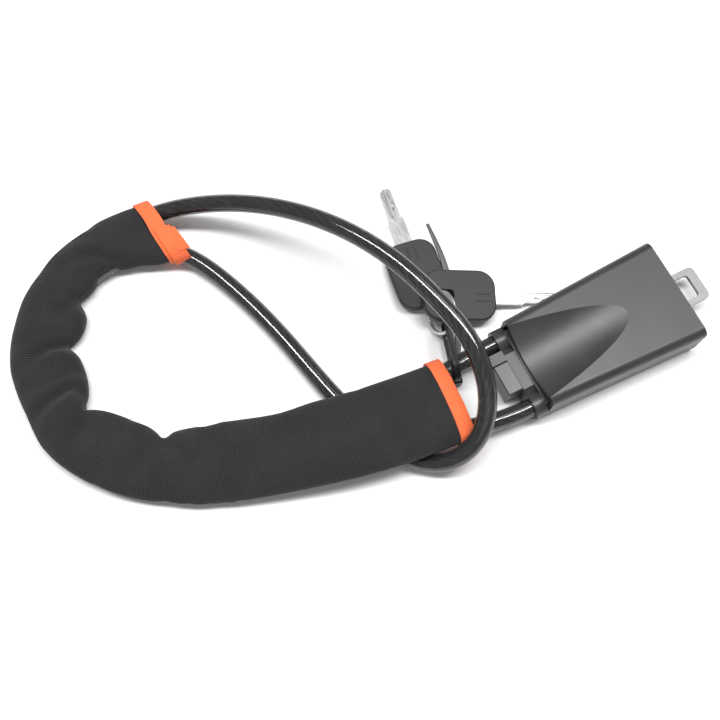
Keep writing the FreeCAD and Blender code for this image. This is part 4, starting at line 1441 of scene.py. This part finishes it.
@dataclass
class Studio:
    """A white table, a soft box overhead and the camera."""

    floor_size: float = 6.0
    lens: float = 46.55
    eye: tuple[float, float, float] = (-0.1909, -0.0907, 0.4959)
    target: tuple[float, float, float] = (-0.1199, 0.0487, 0.0)
    right: tuple[float, float, float] = (0.891, -0.454, 0.0)
    surroundings: float = 0.26

    @property
    def middle(self) -> Vector:
        """The point of the table that the lights and the camera face."""
        return Vector(self.target)

    def add_camera(self) -> None:
        """Add the camera."""
        data = bpy.data.cameras.new("camera")
        data.lens = self.lens
        data.sensor_width = 36.0
        data.clip_start, data.clip_end = 0.01, 20.0
        camera = bpy.data.objects.new("camera", data)
        back = (Vector(self.eye) - Vector(self.target)).normalized()
        right = Vector(self.right)
        right = (right - back * right.dot(back)).normalized()
        up = back.cross(right)
        turn = Matrix((right, up, back)).transposed()
        camera.matrix_world = Matrix.Translation(self.eye) @ turn.to_4x4()
        bpy.context.collection.objects.link(camera)
        bpy.context.scene.camera = camera

    def add_floor(self) -> None:
        """Add the floor."""
        bm = bmesh.new()
        bmesh.ops.create_grid(bm, x_segments=1, y_segments=1, size=self.floor_size / 2)
        graph = Graph("white_table")
        graph.set(Base_Color=(0.95, 0.95, 0.95, 1), Roughness=0.9, Specular_IOR_Level=0.1)
        finish_mesh(bm, "studio_floor", graph.material)

    def add_light(
        self, name: str, place: Vector, across: Vector, size: Sequence[float], watts: float
    ) -> None:
        """Add a soft box that faces the lock.

        Args:
            name: the light's name.
            place: its middle.
            across: the level direction of its width.
            size: its width and height.
            watts: its power.
        """
        data = bpy.data.lights.new(name, "AREA")
        data.shape = "RECTANGLE"
        data.size, data.size_y = size
        data.energy = watts
        lamp = bpy.data.objects.new(name, data)
        back = (place - self.middle).normalized()
        right = (across - back * across.dot(back)).normalized()
        turn = Matrix((right, back.cross(right), back)).transposed()
        lamp.matrix_world = Matrix.Translation(place) @ turn.to_4x4()
        bpy.context.collection.objects.link(lamp)

    def build(self) -> None:
        """Build the studio."""
        self.add_camera()
        self.add_floor()
        scene = bpy.context.scene
        scene.view_settings.view_transform = "Standard"
        world = bpy.data.worlds.new("studio_world")
        world.use_nodes = True
        world.node_tree.nodes["Background"].inputs["Color"].default_value = (1, 1, 1, 1)
        world.node_tree.nodes["Background"].inputs["Strength"].default_value = self.surroundings
        scene.world = world
        right = Vector(self.right)
        away = Vector((0, 0, 1)).cross(right)
        up = Vector((0, 0, 1))
        over = self.middle + away * 0.17 + up * 1.49
        front = self.middle - away * 1.1 + up * 1.1
        beyond_head = self.middle + right * 0.62 + away * 0.55 + up * 1.4
        self.add_light("overhead_strip", over, right, (1.7, 0.26), 30.0)
        self.add_light("front_fill", front, right, (1.2, 0.9), 1.5)
        self.add_light("head_glow", beyond_head, right, (0.75, 0.6), 3.6)


# ---------------------------------------------------------------- assembly


def write_sizes() -> None:
    """Bring the view layer up to date."""
    bpy.context.view_layer.update()


def main() -> None:
    """Build the lock, piece by piece."""
    logging.basicConfig(level=logging.INFO, format="%(name)s: %(message)s")
    finishes = Finishes.make()
    Studio().build()
    LockCable(finishes).build()
    Sleeve(finishes).build()
    Key(finishes, "key_1", (-65.4, 98.4, 1.2), 81.3, 3.4).build()
    Key(finishes, "key_2", (-36.8, 45.6, 5.0), -25.0, 8.4).build()
    SplitRing(finishes).build()
    CableTie(finishes).build()
    PackedNodes(finishes).dress()
    write_sizes()


if __name__ == "__main__":
    main()
